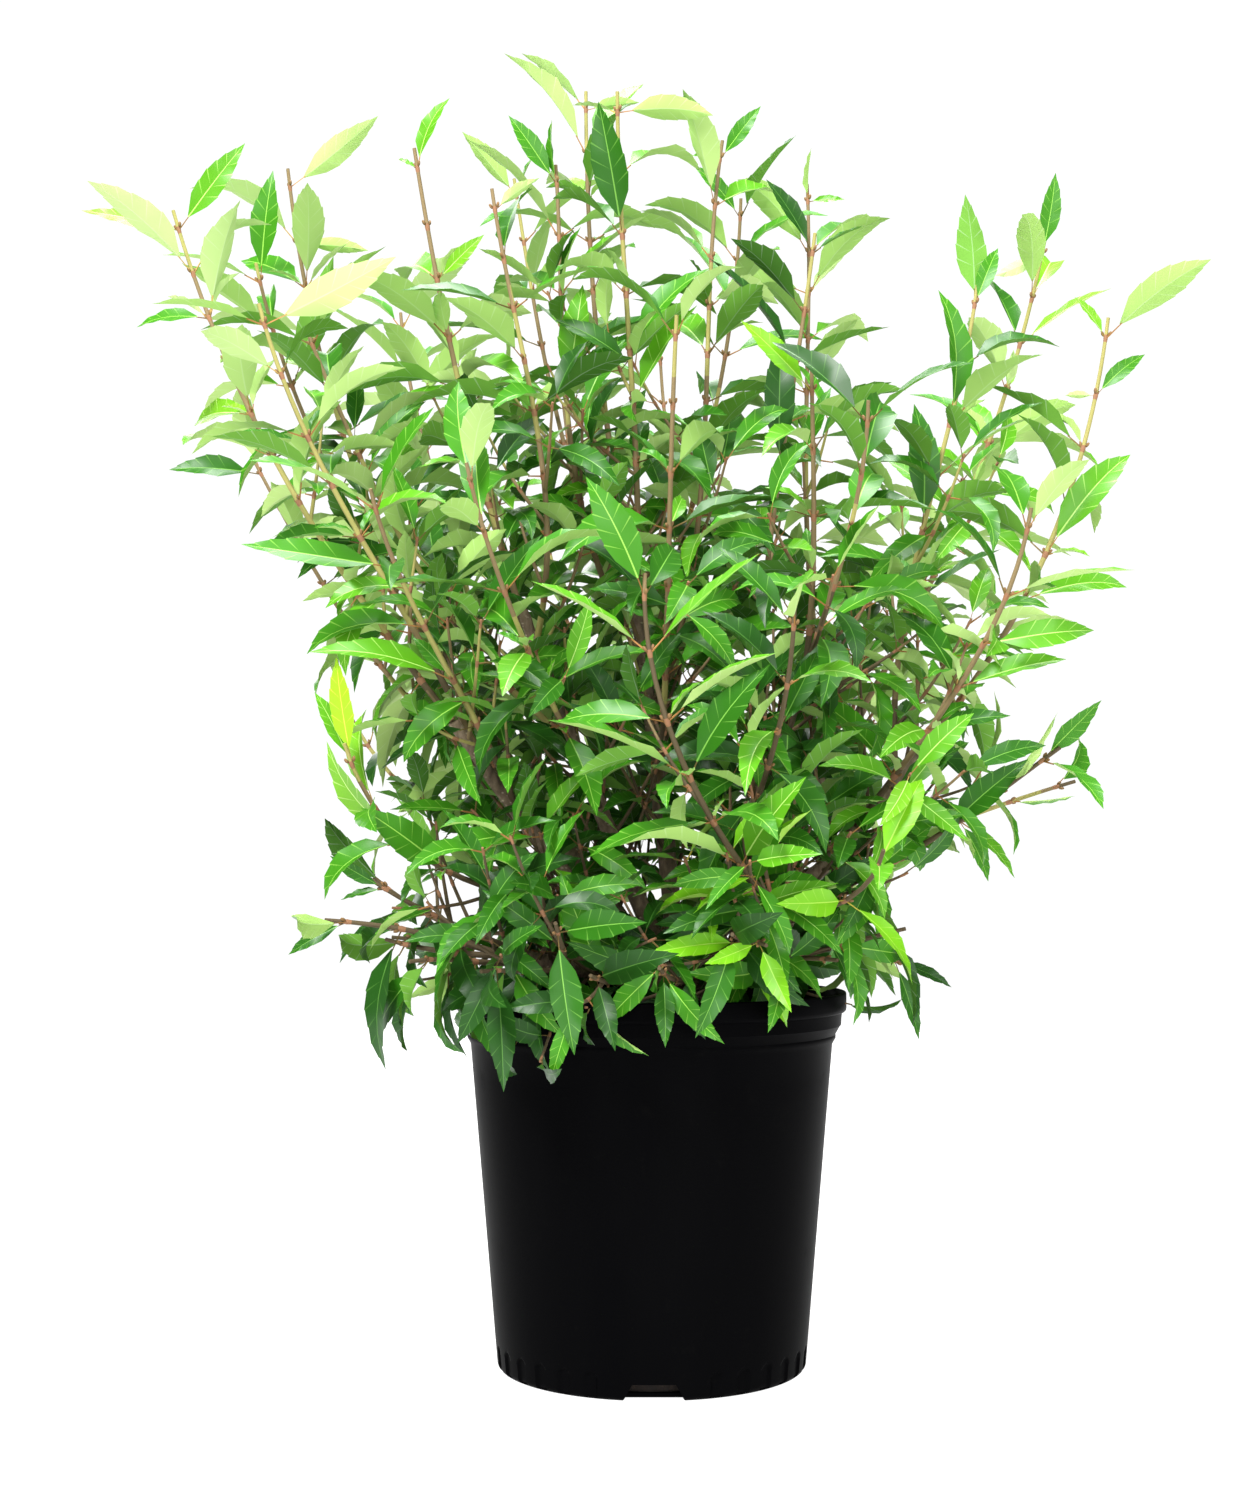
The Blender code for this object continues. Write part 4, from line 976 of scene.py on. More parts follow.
    def notch_cutter(self, turn: float) -> bpy.types.Object:
        """Makes a cutter, a low trapezium that is pushed through the wall's foot.

        Args:
            turn: The notch's direction.

        Returns:
            The cutter.
        """
        bm = bmesh.new()
        start = self.foot_radius - self.notch_reach
        outline = [
            (-self.notch_half_foot, -self.cut_under),
            (self.notch_half_foot, -self.cut_under),
            (self.notch_half_top, self.notch_height),
            (-self.notch_half_top, self.notch_height),
        ]
        face = bm.faces.new([bm.verts.new((start, side, height)) for side, height in outline])
        pushed = bmesh.ops.extrude_face_region(bm, geom=[face])["geom"]
        moved = [item for item in pushed if isinstance(item, bmesh.types.BMVert)]
        bmesh.ops.translate(bm, verts=moved, vec=(2 * self.notch_reach, 0.0, 0.0))
        bmesh.ops.rotate(bm, verts=bm.verts, cent=(0, 0, 0), matrix=Matrix.Rotation(turn, 3, "Z"))
        bmesh.ops.recalc_face_normals(bm, faces=bm.faces)
        return linked("notch_cutter", mesh_of(bm, "notch_cutter"))

    def build(self) -> bpy.types.Object:
        """Turns the wall, presses the flutes and cuts the notches."""
        bm = spun(self.outside() + self.inside(), self.steps)
        self.press_flutes(bm)
        body = linked("pot_blank", mesh_of(bm, "pot_blank"))
        cutters = [self.notch_cutter(turn) for turn in self.notch_turns()]
        for cutter in cutters:
            modifier = body.modifiers.new("notch", "BOOLEAN")
            modifier.object = cutter
            modifier.operation = "DIFFERENCE"
        mesh = evaluated(body)
        for cutter in cutters:
            bpy.data.objects.remove(cutter, do_unlink=True)
        mesh.materials.clear()
        mesh.materials.append(PotPlastic().material())
        mesh.shade_smooth()
        mesh.set_sharp_from_angle(angle=self.sharp)
        piece = linked("pot_shell", mesh)
        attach(piece, BODY)
        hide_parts("pot")
        return piece


@dataclass
class PottingMix:
    """The crumbly fill with loose bark chips on its top."""

    top: float = 0.1990
    brim_radius: float = 0.1060
    foot_radius: float = 0.0765
    floor: float = 0.0027
    steps: int = 110
    ring_step: float = 0.0050
    lumps: float = 0.0022
    chips: int = 620
    wall_foot: float = 0.0100
    wall_form: Profile = ((0.0880, 0.0105), (0.1025, 0.1850))
    brim_inset: float = 0.0008
    brim_drop: float = 0.0030
    uneven_depth: float = 0.0035
    lump_scale: float = 90.0
    lump_level: float = 0.3
    chip_size: Range = (0.0015, 0.0050)
    chip_form: Point = (1.6, 0.9, 0.45)
    chip_jitter: float = 0.22
    chip_jitter_scale: float = 3.1
    chip_shifts: Point = (0.0, 10.0, 20.0)
    chip_margin: float = 0.006
    chip_sink: float = 0.0004
    chip_lean: float = 0.35
    chip_sharp: float = math.radians(30)
    chip_finishes: tuple[PlainFinish, ...] = (
        PlainFinish("chip_dark", (0.022, 0.013, 0.009), 0.9, 0.1),
        PlainFinish("chip_brown", (0.060, 0.034, 0.020), 0.9, 0.1),
        PlainFinish("chip_tan", (0.130, 0.083, 0.048), 0.9, 0.1),
    )

    def surface(self) -> bpy.types.Object:
        """The fill with an uneven top."""
        foot = [(0.0, self.floor), (self.foot_radius, self.floor), (self.foot_radius, self.wall_foot)]
        brim = (self.brim_radius - self.brim_inset, self.top - self.brim_drop)
        crown = finer([brim, (0.0, self.top)], self.ring_step)
        bm = spun([*foot, *self.wall_form, *crown], self.steps)
        for vertex in bm.verts:
            if vertex.co.z > self.top - self.uneven_depth:
                lump = noise.fractal(vertex.co * self.lump_scale, 0.8, 2.2, 4)
                vertex.co.z += self.lumps * (lump - self.lump_level)
        mesh = mesh_of(bm, "mix_fill")
        mesh.shade_smooth()
        mesh.materials.append(PeatFinish().material())
        return linked("mix_fill", mesh)

    def chip_pattern(self) -> Pattern:
        """One rough chip."""
        bm = bmesh.new()
        bmesh.ops.create_cube(bm, size=1.0)
        bmesh.ops.subdivide_edges(bm, edges=bm.edges[:4], cuts=1)
        for vertex in bm.verts:
            spot = vertex.co * self.chip_jitter_scale
            jitter = Vector([noise.noise(spot + Vector((shift, 0.0, 0.0))) for shift in self.chip_shifts])
            vertex.co += self.chip_jitter * jitter
        return Pattern.of(bm)

    def loose_chips(self) -> bpy.types.Object:
        """Small chips of bark scattered over the fill."""
        rng = np.random.default_rng(SEED)
        pattern = self.chip_pattern()
        count = self.chips
        radius = (self.brim_radius - self.chip_margin) * np.sqrt(rng.random(count))
        turn = rng.random(count) * math.tau
        level = np.full(count, self.top - self.chip_sink)
        spot = np.stack([radius * np.cos(turn), radius * np.sin(turn), level], 1)
        spin, lean = rng.random(count) * math.tau, rng.normal(0.0, self.chip_lean, count)
        size = rng.uniform(*self.chip_size, (count, 3)) * self.chip_form
        local = pattern.points[None] * size[:, None]
        x = local[..., 0] * np.cos(spin)[:, None] - local[..., 1] * np.sin(spin)[:, None]
        y = local[..., 0] * np.sin(spin)[:, None] + local[..., 1] * np.cos(spin)[:, None]
        z = local[..., 2] + x * np.sin(lean)[:, None]
        placed = np.stack([x, y, z], 2) + spot[:, None]
        joined = JoinedMesh()
        joined.add(pattern, placed, rng.integers(0, len(self.chip_finishes), count))
        finishes = [finish.material() for finish in self.chip_finishes]
        return joined.build("mix_chips", finishes, self.chip_sharp)

    def build(self) -> list[bpy.types.Object]:
        """Makes the fill and its chips."""
        pieces = [self.surface(), self.loose_chips()]
        for piece in pieces:
            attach(piece, BODY)
        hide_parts("potting_mix")
        return pieces


@dataclass
class Tubes:
    """Round limbs of one kind, made as bevelled curves and joined in one mesh."""

    name: str
    sides: int
    courses: list[tuple[list[Vector], list[float]]] = field(default_factory=list)

    def add(self, path: list[Vector], radii: list[float]) -> None:
        """Adds a limb."""
        self.courses.append((path, radii))

    def mesh(self) -> bpy.types.Mesh:
        """The limbs as one mesh of closed tubes."""
        curve = bpy.data.curves.new(self.name, "CURVE")
        curve.dimensions = "3D"
        curve.bevel_depth = 1.0
        # Each step of the resolution adds two sides to four
        curve.bevel_resolution = (self.sides - 4) // 2
        curve.use_fill_caps = True
        for path, radii in self.courses:
            spline = curve.splines.new("POLY")
            spline.points.add(len(path) - 1)
            spline.points.foreach_set("co", [value for point in path for value in (*point, 1.0)])
            spline.points.foreach_set("radius", radii)
        mesh = evaluated(linked(self.name, curve))
        bm = bmesh.new()
        bm.from_mesh(mesh)
        bmesh.ops.remove_doubles(bm, verts=bm.verts, dist=WELD)
        bmesh.ops.recalc_face_normals(bm, faces=bm.faces)
        bm.to_mesh(mesh)
        bm.free()
        return mesh


@dataclass
class Limbs:
    """The root crown and the boughs, in one skin of bark."""

    mix_top: float = 0.1990
    crown_x: float = 0.012
    crown_height: float = 0.0300
    crown_peak: float = 0.002
    crown_form: Profile = (
        (0.0290, 0.0),
        (0.78 * 0.0290, 0.15),
        (0.0170, 0.45),
        (0.0150, 0.85),
        (0.6 * 0.0150, 1.0),
    )
    crown_steps: int = 40
    crown_step: float = 0.004
    lobes: int = 3
    lobe_depth: float = 0.10
    lobe_turn: float = 0.6
    lean: Point = (0.004, -0.001, 0.0)
    spread_rise: float = 0.6
    stub_length: float = 0.0330
    foot_radius: float = 0.0058
    foot_share: float = 0.80
    foot_gain: float = 0.8
    tip_radius: float = 0.0036
    taper_reach: float = 0.16
    leave: float = 0.65
    arrive: float = 0.42
    stations: int = 60
    sides: int = 12
    root_swell: float = 1.12
    knot_swell: float = 0.10
    knot_scale: float = 60.0
    voxel: float = 0.00130
    relief: float = 0.00045
    ridge_scale: Point = (420.0, 420.0, 90.0)
    lump_scale: float = 130.0
    lump_share: float = 0.8
    wart_scale: float = 520.0
    wart_level: float = 0.25
    wart_share: float = 1.6

    def __post_init__(self) -> None:
        """Lays out every bough."""
        spread = self.mix_top + self.spread_rise * self.crown_height
        self.head = Vector((self.crown_x, 0.0, spread)) + Vector(self.lean)
        self.courses = {bough.name: self.bough_course(bough) for bough in BOUGHS}

    def bough_course(self, bough: Bough) -> Course:
        """Lays out a bough by the solids' rule.

        Args:
            bough: The bough.

        Returns:
            Its course from just past its stub on the root crown.
        """
        knee, tip = Vector(bough.knee), Vector(bough.tip)
        start = self.head + (knee - self.head).normalized() * self.stub_length
        reach = (tip - start).length
        foot = self.foot_radius * (self.foot_share + self.foot_gain * reach)
        end = foot + (self.tip_radius - foot) * min(1.0, reach / self.taper_reach)
        handles = (start, start.lerp(knee, self.leave), knee.lerp(tip, self.arrive), tip)
        return Course.cubic(handles, self.stations, foot, end)

    def crown_mesh(self) -> bmesh.types.BMesh:
        """The flared stump."""
        flare = [(radius, rise * self.crown_height) for radius, rise in self.crown_form]
        profile = [(0.0, 0.0), *flare, (0.0, self.crown_height + self.crown_peak)]
        bm = spun(finer(profile, self.crown_step), self.crown_steps)
        for vertex in bm.verts:
            rise = vertex.co.z / self.crown_height
            turn = math.atan2(vertex.co.y, vertex.co.x)
            lobe = 1 + self.lobe_depth * math.cos(self.lobes * turn + self.lobe_turn) * (1 - rise)
            vertex.co.x *= lobe
            vertex.co.y *= lobe
            vertex.co += Vector(self.lean) * rise + Vector((self.crown_x, 0.0, self.mix_top))
        return bm

    def carve(self, mesh: bpy.types.Mesh) -> None:
        """Gives the limbs' skin its ridges and warts, a fraction of a millimetre high.

        Args:
            mesh: The skin.
        """
        mesh.update()
        normals = [vertex.normal.copy() for vertex in mesh.vertices]
        for vertex, normal in zip(mesh.vertices, normals):
            stretched = [value * scale for value, scale in zip(vertex.co, self.ridge_scale)]
            ridges = noise.noise(Vector(stretched))
            lumps = noise.noise(vertex.co * self.lump_scale)
            warts = max(0.0, noise.noise(vertex.co * self.wart_scale) - self.wart_level)
            vertex.co += normal * self.relief * (ridges + self.lump_share * lumps + self.wart_share * warts)

    def build(self) -> bpy.types.Object:
        """Joins the stump and the boughs in one skin and carves it."""
        tubes = Tubes("bough_tubes", self.sides)
        for course in self.courses.values():
            steps = len(course.path)
            radii = [course.point(step / (steps - 1))[2] for step in range(steps)]
            lumps = [max(0.0, noise.noise(point * self.knot_scale)) for point in course.path]
            knotted = [radius * (1 + self.knot_swell * lump) for radius, lump in zip(radii, lumps)]
            tubes.add([self.head, *course.path], [radii[0] * self.root_swell, *knotted])
        bm = self.crown_mesh()
        bm.from_mesh(tubes.mesh())
        body = linked("bark_blank", mesh_of(bm, "bark_blank"))
        remesh = body.modifiers.new("skin", "REMESH")
        remesh.mode = "VOXEL"
        remesh.voxel_size = self.voxel
        mesh = evaluated(body)
        self.carve(mesh)
        mesh.materials.clear()
        mesh.materials.append(BarkFinish().material())
        mesh.shade_smooth()
        piece = linked("limb_bark", mesh)
        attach(piece, BODY)
        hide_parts("root_crown", *self.courses)
        return piece


@dataclass(frozen=True)
class LeafBlade:
    """The form of one leaf, flat: a pointed blade with toothed margins, a midrib and side veins.

    Lengths along the leaf are shares of it. Widths and relief are in metres, for a leaf of the usual width.
    """

    half_width: float = 0.0120
    petiole: float = 0.150
    petiole_radii: Range = (0.00062, 0.00042)
    petiole_sides: int = 3
    petiole_reach: float = 1.12
    petiole_sink: float = 0.6
    rise: float = 0.84
    fall: float = 1.22
    rows: tuple[float, ...] = (0.0, 0.13, 0.27, 0.41, 0.55, 0.69, 0.83, 1.0)
    toothed: range = range(1, 6)
    tooth: float = 0.062
    tooth_share: float = 0.88
    tooth_lead: float = 0.010
    tooth_fall: float = 2.2
    tooth_least: float = 0.25
    sweep: float = 0.120
    sweep_power: float = 0.6
    rib_half: Range = (0.00060, 0.00018)
    pleat: float = 0.00045
    vein_sink: float = 0.00030
    thickness: float = 0.00050
    test_rows: tuple[float, ...] = (0.04, 0.30, 0.55, 0.80)
    stiff: float = 0.05
    droop_power: float = 1.45
    cup_foot: float = 1.05
    cup_fall: float = 0.55
    ripples: float = 1.7
    ripple_shift: float = 2.3

    def outline(self, along: float) -> float:
        """The form of the blade's edge.

        Args:
            along: A share of the blade's length.

        Returns:
            The half width there, as a share of the widest.
        """
        peak = self.rise / (self.rise + self.fall)
        most = peak**self.rise * (1 - peak) ** self.fall
        return max(0.0, along) ** self.rise * max(0.0, 1 - along) ** self.fall / most

    def spot(self, index: int, out: bool, side: float) -> Vector:
        """The place of a grid point: share along the blade, metres across, metres of relief.

        Args:
            index: Its row.
            out: True at the margin, False at the midrib.
            side: -1 on the left and 1 on the right.

        Returns:
            The point.
        """
        row = self.rows[index]
        if row >= 1.0:
            return Vector((1.0, 0.0, 0.0))
        along = row + (self.sweep * self.outline(row) ** self.sweep_power if out else 0.0)
        rib = self.rib_half[0] + (self.rib_half[1] - self.rib_half[0]) * along
        if not out or index == 0:
            return Vector((along, side * rib, -self.vein_sink if index else 0.0))
        relief = self.pleat if index % 2 else -self.pleat
        return Vector((along, side * self.outline(along) * self.half_width, relief))

    def blade(self) -> bmesh.types.BMesh:
        """The upper side: a grid of two pleated halves with the midrib between them, then its teeth."""
        bm = bmesh.new()
        spans, strips = len(self.rows) - 1, 3
        bmesh.ops.create_grid(bm, x_segments=spans, y_segments=strips, size=1.0)
        for face in bm.faces:
            on_rib = abs(face.calc_center_median().y) < 1 / strips
            face.material_index = Part.VEIN.value if on_rib else Part.UPPER.value
        place = {vertex: round((vertex.co.x + 1) / 2 * spans) for vertex in bm.verts}
        margins = []
        for edge in bm.edges:
            ends = [place[vertex] for vertex in edge.verts]
            outer = all(abs(vertex.co.y) > 1 - WELD for vertex in edge.verts)
            if outer and min(ends) != max(ends) and min(ends) in self.toothed:
                margins.append(edge)
        for vertex, index in place.items():
            vertex.co = self.spot(index, abs(vertex.co.y) > 0.5, math.copysign(1.0, vertex.co.y))
        for edge in margins:
            self.cut_tooth(edge)
        bmesh.ops.remove_doubles(bm, verts=bm.verts, dist=WELD)
        bmesh.ops.triangulate(bm, faces=bm.faces, quad_method="SHORT_EDGE")
        return bm

    def cut_tooth(self, edge: bmesh.types.BMEdge) -> None:
        """Splits a stretch of the margin and draws its front end out into a forward tooth.

        Args:
            edge: The stretch.
        """
        rear, front = sorted(edge.verts, key=lambda vertex: vertex.co.x)
        inner = next(link.other_vert(front) for link in front.link_edges if not link.is_boundary)
        panel = edge.link_faces[0]
        side = math.copysign(1.0, front.co.y)
        tip = bmesh.utils.edge_split(edge, rear, self.tooth_share)[1]
        full = min(1.0, self.tooth_fall * (1 - tip.co.x) + self.tooth_least)
        wide = (self.outline(tip.co.x) + self.tooth * full) * self.half_width
        tip.co = (tip.co.x + self.tooth_lead, side * wide, tip.co.z)
        halves = (panel, bmesh.utils.face_split(panel, tip, inner)[0])
        min(halves, key=lambda face: face.calc_area()).material_index = Part.SIDE_VEIN.value

    def stalk(self) -> bmesh.types.BMesh:
        """The petiole, a thin tapering rod that runs in under the blade."""
        bm = bmesh.new()
        length = self.petiole_reach * self.petiole
        sink = self.petiole_sink * self.petiole_radii[0]
        bmesh.ops.create_cone(
            bm,
            cap_ends=True,
            segments=self.petiole_sides,
            radius1=self.petiole_radii[0],
            radius2=self.petiole_radii[1],
            depth=length,
        )
        bmesh.ops.rotate(bm, verts=bm.verts, cent=(0, 0, 0), matrix=Matrix.Rotation(math.pi / 2, 3, "Y"))
        bmesh.ops.translate(bm, verts=bm.verts, vec=(0.5 * length, 0.0, -sink))
        for face in bm.faces:
            face.material_index = Part.PETIOLE.value
        return bm

    def pattern(self) -> Pattern:
        """The whole leaf as a closed shell with its petiole."""
        bm = self.blade()
        copied = bmesh.ops.duplicate(bm, geom=bm.verts[:] + bm.edges[:] + bm.faces[:])["geom"]
        under = [item for item in copied if isinstance(item, bmesh.types.BMFace)]
        for vertex in (item for item in copied if isinstance(item, bmesh.types.BMVert)):
            if not vertex.is_boundary:
                vertex.co.z -= self.thickness
        bmesh.ops.reverse_faces(bm, faces=under)
        for face in under:
            plain = face.material_index == Part.UPPER.value
            face.material_index = Part.UNDER.value if plain else Part.UNDER_VEIN.value
        bmesh.ops.remove_doubles(bm, verts=bm.verts, dist=WELD)
        for vertex in bm.verts:
            vertex.co.x = self.petiole + (1 - self.petiole) * vertex.co.x
        stalk = mesh_of(self.stalk(), "stalk")
        bm.from_mesh(stalk)
        bpy.data.meshes.remove(stalk)
        return Pattern.of(bm)

    def sheet(self) -> tuple[np.ndarray, list[tuple[int, ...]]]:
        """A coarse sheet of the blade, for tests of what it crosses: its points and triangles."""
        points = []
        for along in self.test_rows:
            wide = (self.outline(along) + self.tooth) * self.half_width
            share = self.petiole + (1 - self.petiole) * along
            points += [(share, -wide, 0.0), (share, 0.0, 0.0), (share, wide, 0.0)]
        faces = []
        for row in range(len(self.test_rows) - 1):
            for step in (0, 1):
                a = 3 * row + step
                faces += [(a, a + 1, a + 4), (a, a + 4, a + 3)]
        last = len(points) - 3
        points.append((1.0, 0.0, 0.0))
        faces += [(last, last + 1, last + 3), (last + 1, last + 2, last + 3)]
        return np.array(points), faces

    def bend(self, points: np.ndarray, leaves: Sequence[Leaf]) -> np.ndarray:
        """Puts flat leaf points where each leaf grows.

        Args:
            points: Points of the flat leaf.
            leaves: The leaves to place.

        Returns:
            Leaves by points by three.
        """
        rows = np.array([leaf.row() for leaf in leaves])
        root, way, face = (rows[:, None, start : start + 3] for start in (0, 3, 6))
        form = (rows[:, column : column + 1] for column in range(9, 17))
        length, width, droop, fold, twist, sway, wave, phase = form
        order = np.argsort(points[:, 0], kind="stable")
        share = points[order, 0][None]
        wide = points[order, 1][None] * width / (2 * self.half_width)
        lift = points[order, 2][None]
        arc = droop * np.clip((share - self.stiff) / (1 - self.stiff), 0.0, 1.0) ** self.droop_power
        step = np.diff(share, prepend=0.0)
        middle = 0.5 * (arc + np.concatenate([arc[:, :1], arc[:, :-1]], 1))
        ahead = np.cumsum(np.cos(middle) * step, 1) * length
        down = np.cumsum(np.sin(middle) * step, 1) * length
        side = np.cross(way, face)
        normal = face * np.cos(arc)[..., None] + way * np.sin(arc)[..., None]
        cup = fold * (self.cup_foot - self.cup_fall * share)
        out = np.abs(wide) / self.half_width
        swing = math.tau * self.ripples * share + phase + self.ripple_shift * (wide > 0)
        ripple = wave * out**2 * np.sin(swing)
        across_leaf = wide * np.cos(cup)
        above = np.abs(wide) * np.sin(cup) + lift + ripple
        turn = (twist * share)[..., None]
        turned_side = side * np.cos(turn) + normal * np.sin(turn)
        turned_normal = normal * np.cos(turn) - side * np.sin(turn)
        placed = root + way * ahead[..., None] - face * down[..., None]
        placed = placed + side * (length * sway * share**2)[..., None]
        placed = placed + turned_side * across_leaf[..., None] + turned_normal * above[..., None]
        result = np.empty_like(placed)
        result[:, order] = placed
        return result


@dataclass(eq=False)
class Seat:
    """A leaf's place: a point on a spray, the spray's direction there, and the leaf's turn about it.

    down is the share of the spray's length that lies between its tip and the seat, and vigour the leaf's
    size as a share of the usual.
    """

    point: Vector
    along: Vector
    turn: float
    down: float
    vigour: float

    def full(self) -> bool:
        """True for a leaf of full size."""
        return self.vigour == 1.0

    def outward(self) -> Vector:
        """The way out from the spray on the leaf's side."""
        return radial(self.along, self.turn)


@dataclass
class Spray:
    """A cane, twig or spur with the places of its leaves."""

    name: str
    region: Region
    course: Course
    rng: random.Random
    vigour: float
    # How much lighter its leaves are: the spray's own tone, less painted shade on the rim and on spurs
    tone_and_shade: float
    leaf_size: float = 1.0
    seats: list[Seat] = field(default_factory=list)

    def is_cane(self) -> bool:
        """True for a cane, whose leaves have full size."""
        return self.vigour == 1.0


class Thicket:
    """What has grown so far, to test new leaves against."""

    MOST = 6000
    FAR = 10.0

    def __init__(self, wood: BVHTree) -> None:
        """Starts with the wood and the pot, which every leaf is near."""
        self.trees = [wood]
        self.low = np.full((self.MOST, 3), -self.FAR)
        self.high = np.full((self.MOST, 3), self.FAR)

    def crosses(self, points: np.ndarray, tree: BVHTree) -> bool:
        """Tests a new surface.

        Args:
            points: Its points.
            tree: Its search tree.

        Returns:
            True where it crosses something.
        """
        count = len(self.trees)
        near = (self.low[:count] <= points.max(0)).all(1) & (self.high[:count] >= points.min(0)).all(1)
        return any(self.trees[index].overlap(tree) for index in np.flatnonzero(near))

    def add(self, points: np.ndarray, tree: BVHTree) -> None:
        """Keeps a new surface."""
        self.low[len(self.trees)] = points.min(0)
        self.high[len(self.trees)] = points.max(0)
        self.trees.append(tree)


@dataclass
class Reach:
    """How far the leaves go out at each height: to the left, to the right, forwards and backwards."""

    heights: tuple[float, ...] = (
        0.16, 0.20, 0.25, 0.29, 0.34, 0.40, 0.46, 0.50, 0.56, 0.62, 0.69, 0.72, 0.75, 0.83
    )
    left: tuple[float, ...] = (
        0.150, 0.172, 0.222, 0.190, 0.184, 0.200, 0.210, 0.258, 0.292, 0.312, 0.350, 0.300, 0.235, 0.120
    )
    right: tuple[float, ...] = (
        0.100, 0.158, 0.168, 0.205, 0.268, 0.276, 0.288, 0.275, 0.298, 0.337, 0.285, 0.250, 0.115, 0.060
    )
    front: tuple[float, ...] = (
        0.165, 0.200, 0.225, 0.245, 0.258, 0.268, 0.272, 0.268, 0.255, 0.230, 0.190, 0.165, 0.120, 0.010
    )
    back: tuple[float, ...] = (
        0.165, 0.200, 0.235, 0.255, 0.270, 0.285, 0.295, 0.295, 0.295, 0.290, 0.270, 0.250, 0.210, 0.150
    )
    hem_places: tuple[float, ...] = (-0.16, -0.08, -0.03, 0.02, 0.06, 0.10, 0.15)
    hem: tuple[float, ...] = (0.172, 0.172, 0.183, 0.194, 0.198, 0.203, 0.188)
    bulge: float = 2.6
    room: float = 0.019

    def __post_init__(self) -> None:
        """Takes the solids' box with a little room round it."""
        low, high = (np.array(corner) for corner in SOLID_BOX)
        self.low, self.high = low - self.room, high + self.room
        self.gaps = np.array(SKY_GAPS)

    def hides_sky(self, points: np.ndarray) -> bool:
        """Looks at a leaf from the front.

        Args:
            points: The leaf's points.

        Returns:
            True where they, or the middles between them, cover a gap in which the sky shows.
        """
        x, y, z = np.concatenate([points, 0.5 * (points[1:] + points[:-1])]).T
        nearer = EYE[1] / (EYE[1] - y)
        sideways = EYE[0] + (x - EYE[0]) * nearer
        upwards = EYE[2] + (z - EYE[2]) * nearer
        apart = np.hypot(sideways[:, None] - self.gaps[:, 0], upwards[:, None] - self.gaps[:, 1])
        return bool((apart < self.gaps[:, 2]).any())

    def holds(self, points: np.ndarray, share: float = 1.0) -> bool:
        """Tests a leaf or a tip.

        Args:
            points: Its points.
            share: How much of the reach it may take.

        Returns:
            True where every point lies within that and hides no sky.
        """
        if (points < self.low).any() or (points > self.high).any():
            return False
        x, y, z = points.T
        if (z < np.interp(x, self.hem_places, self.hem)).any() or self.hides_sky(points):
            return False
        left, right, front, back = (
            np.interp(z, self.heights, side) for side in (self.left, self.right, self.front, self.back)
        )
        sideways = np.where(x < 0, left, right)
        depth = np.where(y < 0, front, back)
        out = np.abs(x / sideways) ** self.bulge + np.abs(y / depth) ** self.bulge
        return bool((out <= share).all())


@dataclass(frozen=True)
class Daylight:
    """How much light a leaf gets by its height and how far out it is, painted into its colour as a lighter or
    darker tint.
    """

    foot: float = 0.22
    span: float = 0.56
    inner: float = 0.13
    widening: float = 0.16
    widening_rate: float = 1.6
    leaf_middle: float = 0.6
    base: float = 0.02
    by_height: float = 0.42
    by_reach: float = 0.38
    play: float = 0.40
    small_leaf: float = 0.04
    small_leaf_gain: float = 0.15
    steps: tuple[tuple[float, Tint], ...] = (
        (-0.02, Tint.SHADE),
        (0.25, Tint.DEEP),
        (0.60, Tint.MID),
        (0.88, Tint.LIT),
    )

    def tint(self, leaf: Leaf, tone_and_shade: float, rng: random.Random) -> Tint:
        """Chooses a leaf's tint.

        Args:
            leaf: The leaf.
            tone_and_shade: How much lighter its spray is than the others, by its own tone and by painted
                shade on the rim and on spurs.
            rng: The spray's random numbers.

        Returns:
            The tint, with painted shade inside and low down and painted light at the top.
        """
        spot = leaf.root + leaf.way * self.leaf_middle * leaf.length
        height = (spot.z - self.foot) / self.span
        reach = self.inner + self.widening * min(1.0, max(0.0, height) * self.widening_rate)
        outward = min(1.0, math.hypot(spot.x, spot.y) / reach)
        # The painted light: more high up and far out, with the spray's tone and painted shade, and a random
        # share
        light = self.base + self.by_height * height + self.by_reach * outward**3 + tone_and_shade
        light += rng.uniform(-self.play, self.play)
        if leaf.length < self.small_leaf:
            light += self.small_leaf_gain
        return next((tint for limit, tint in self.steps if light < limit), Tint.PALE)


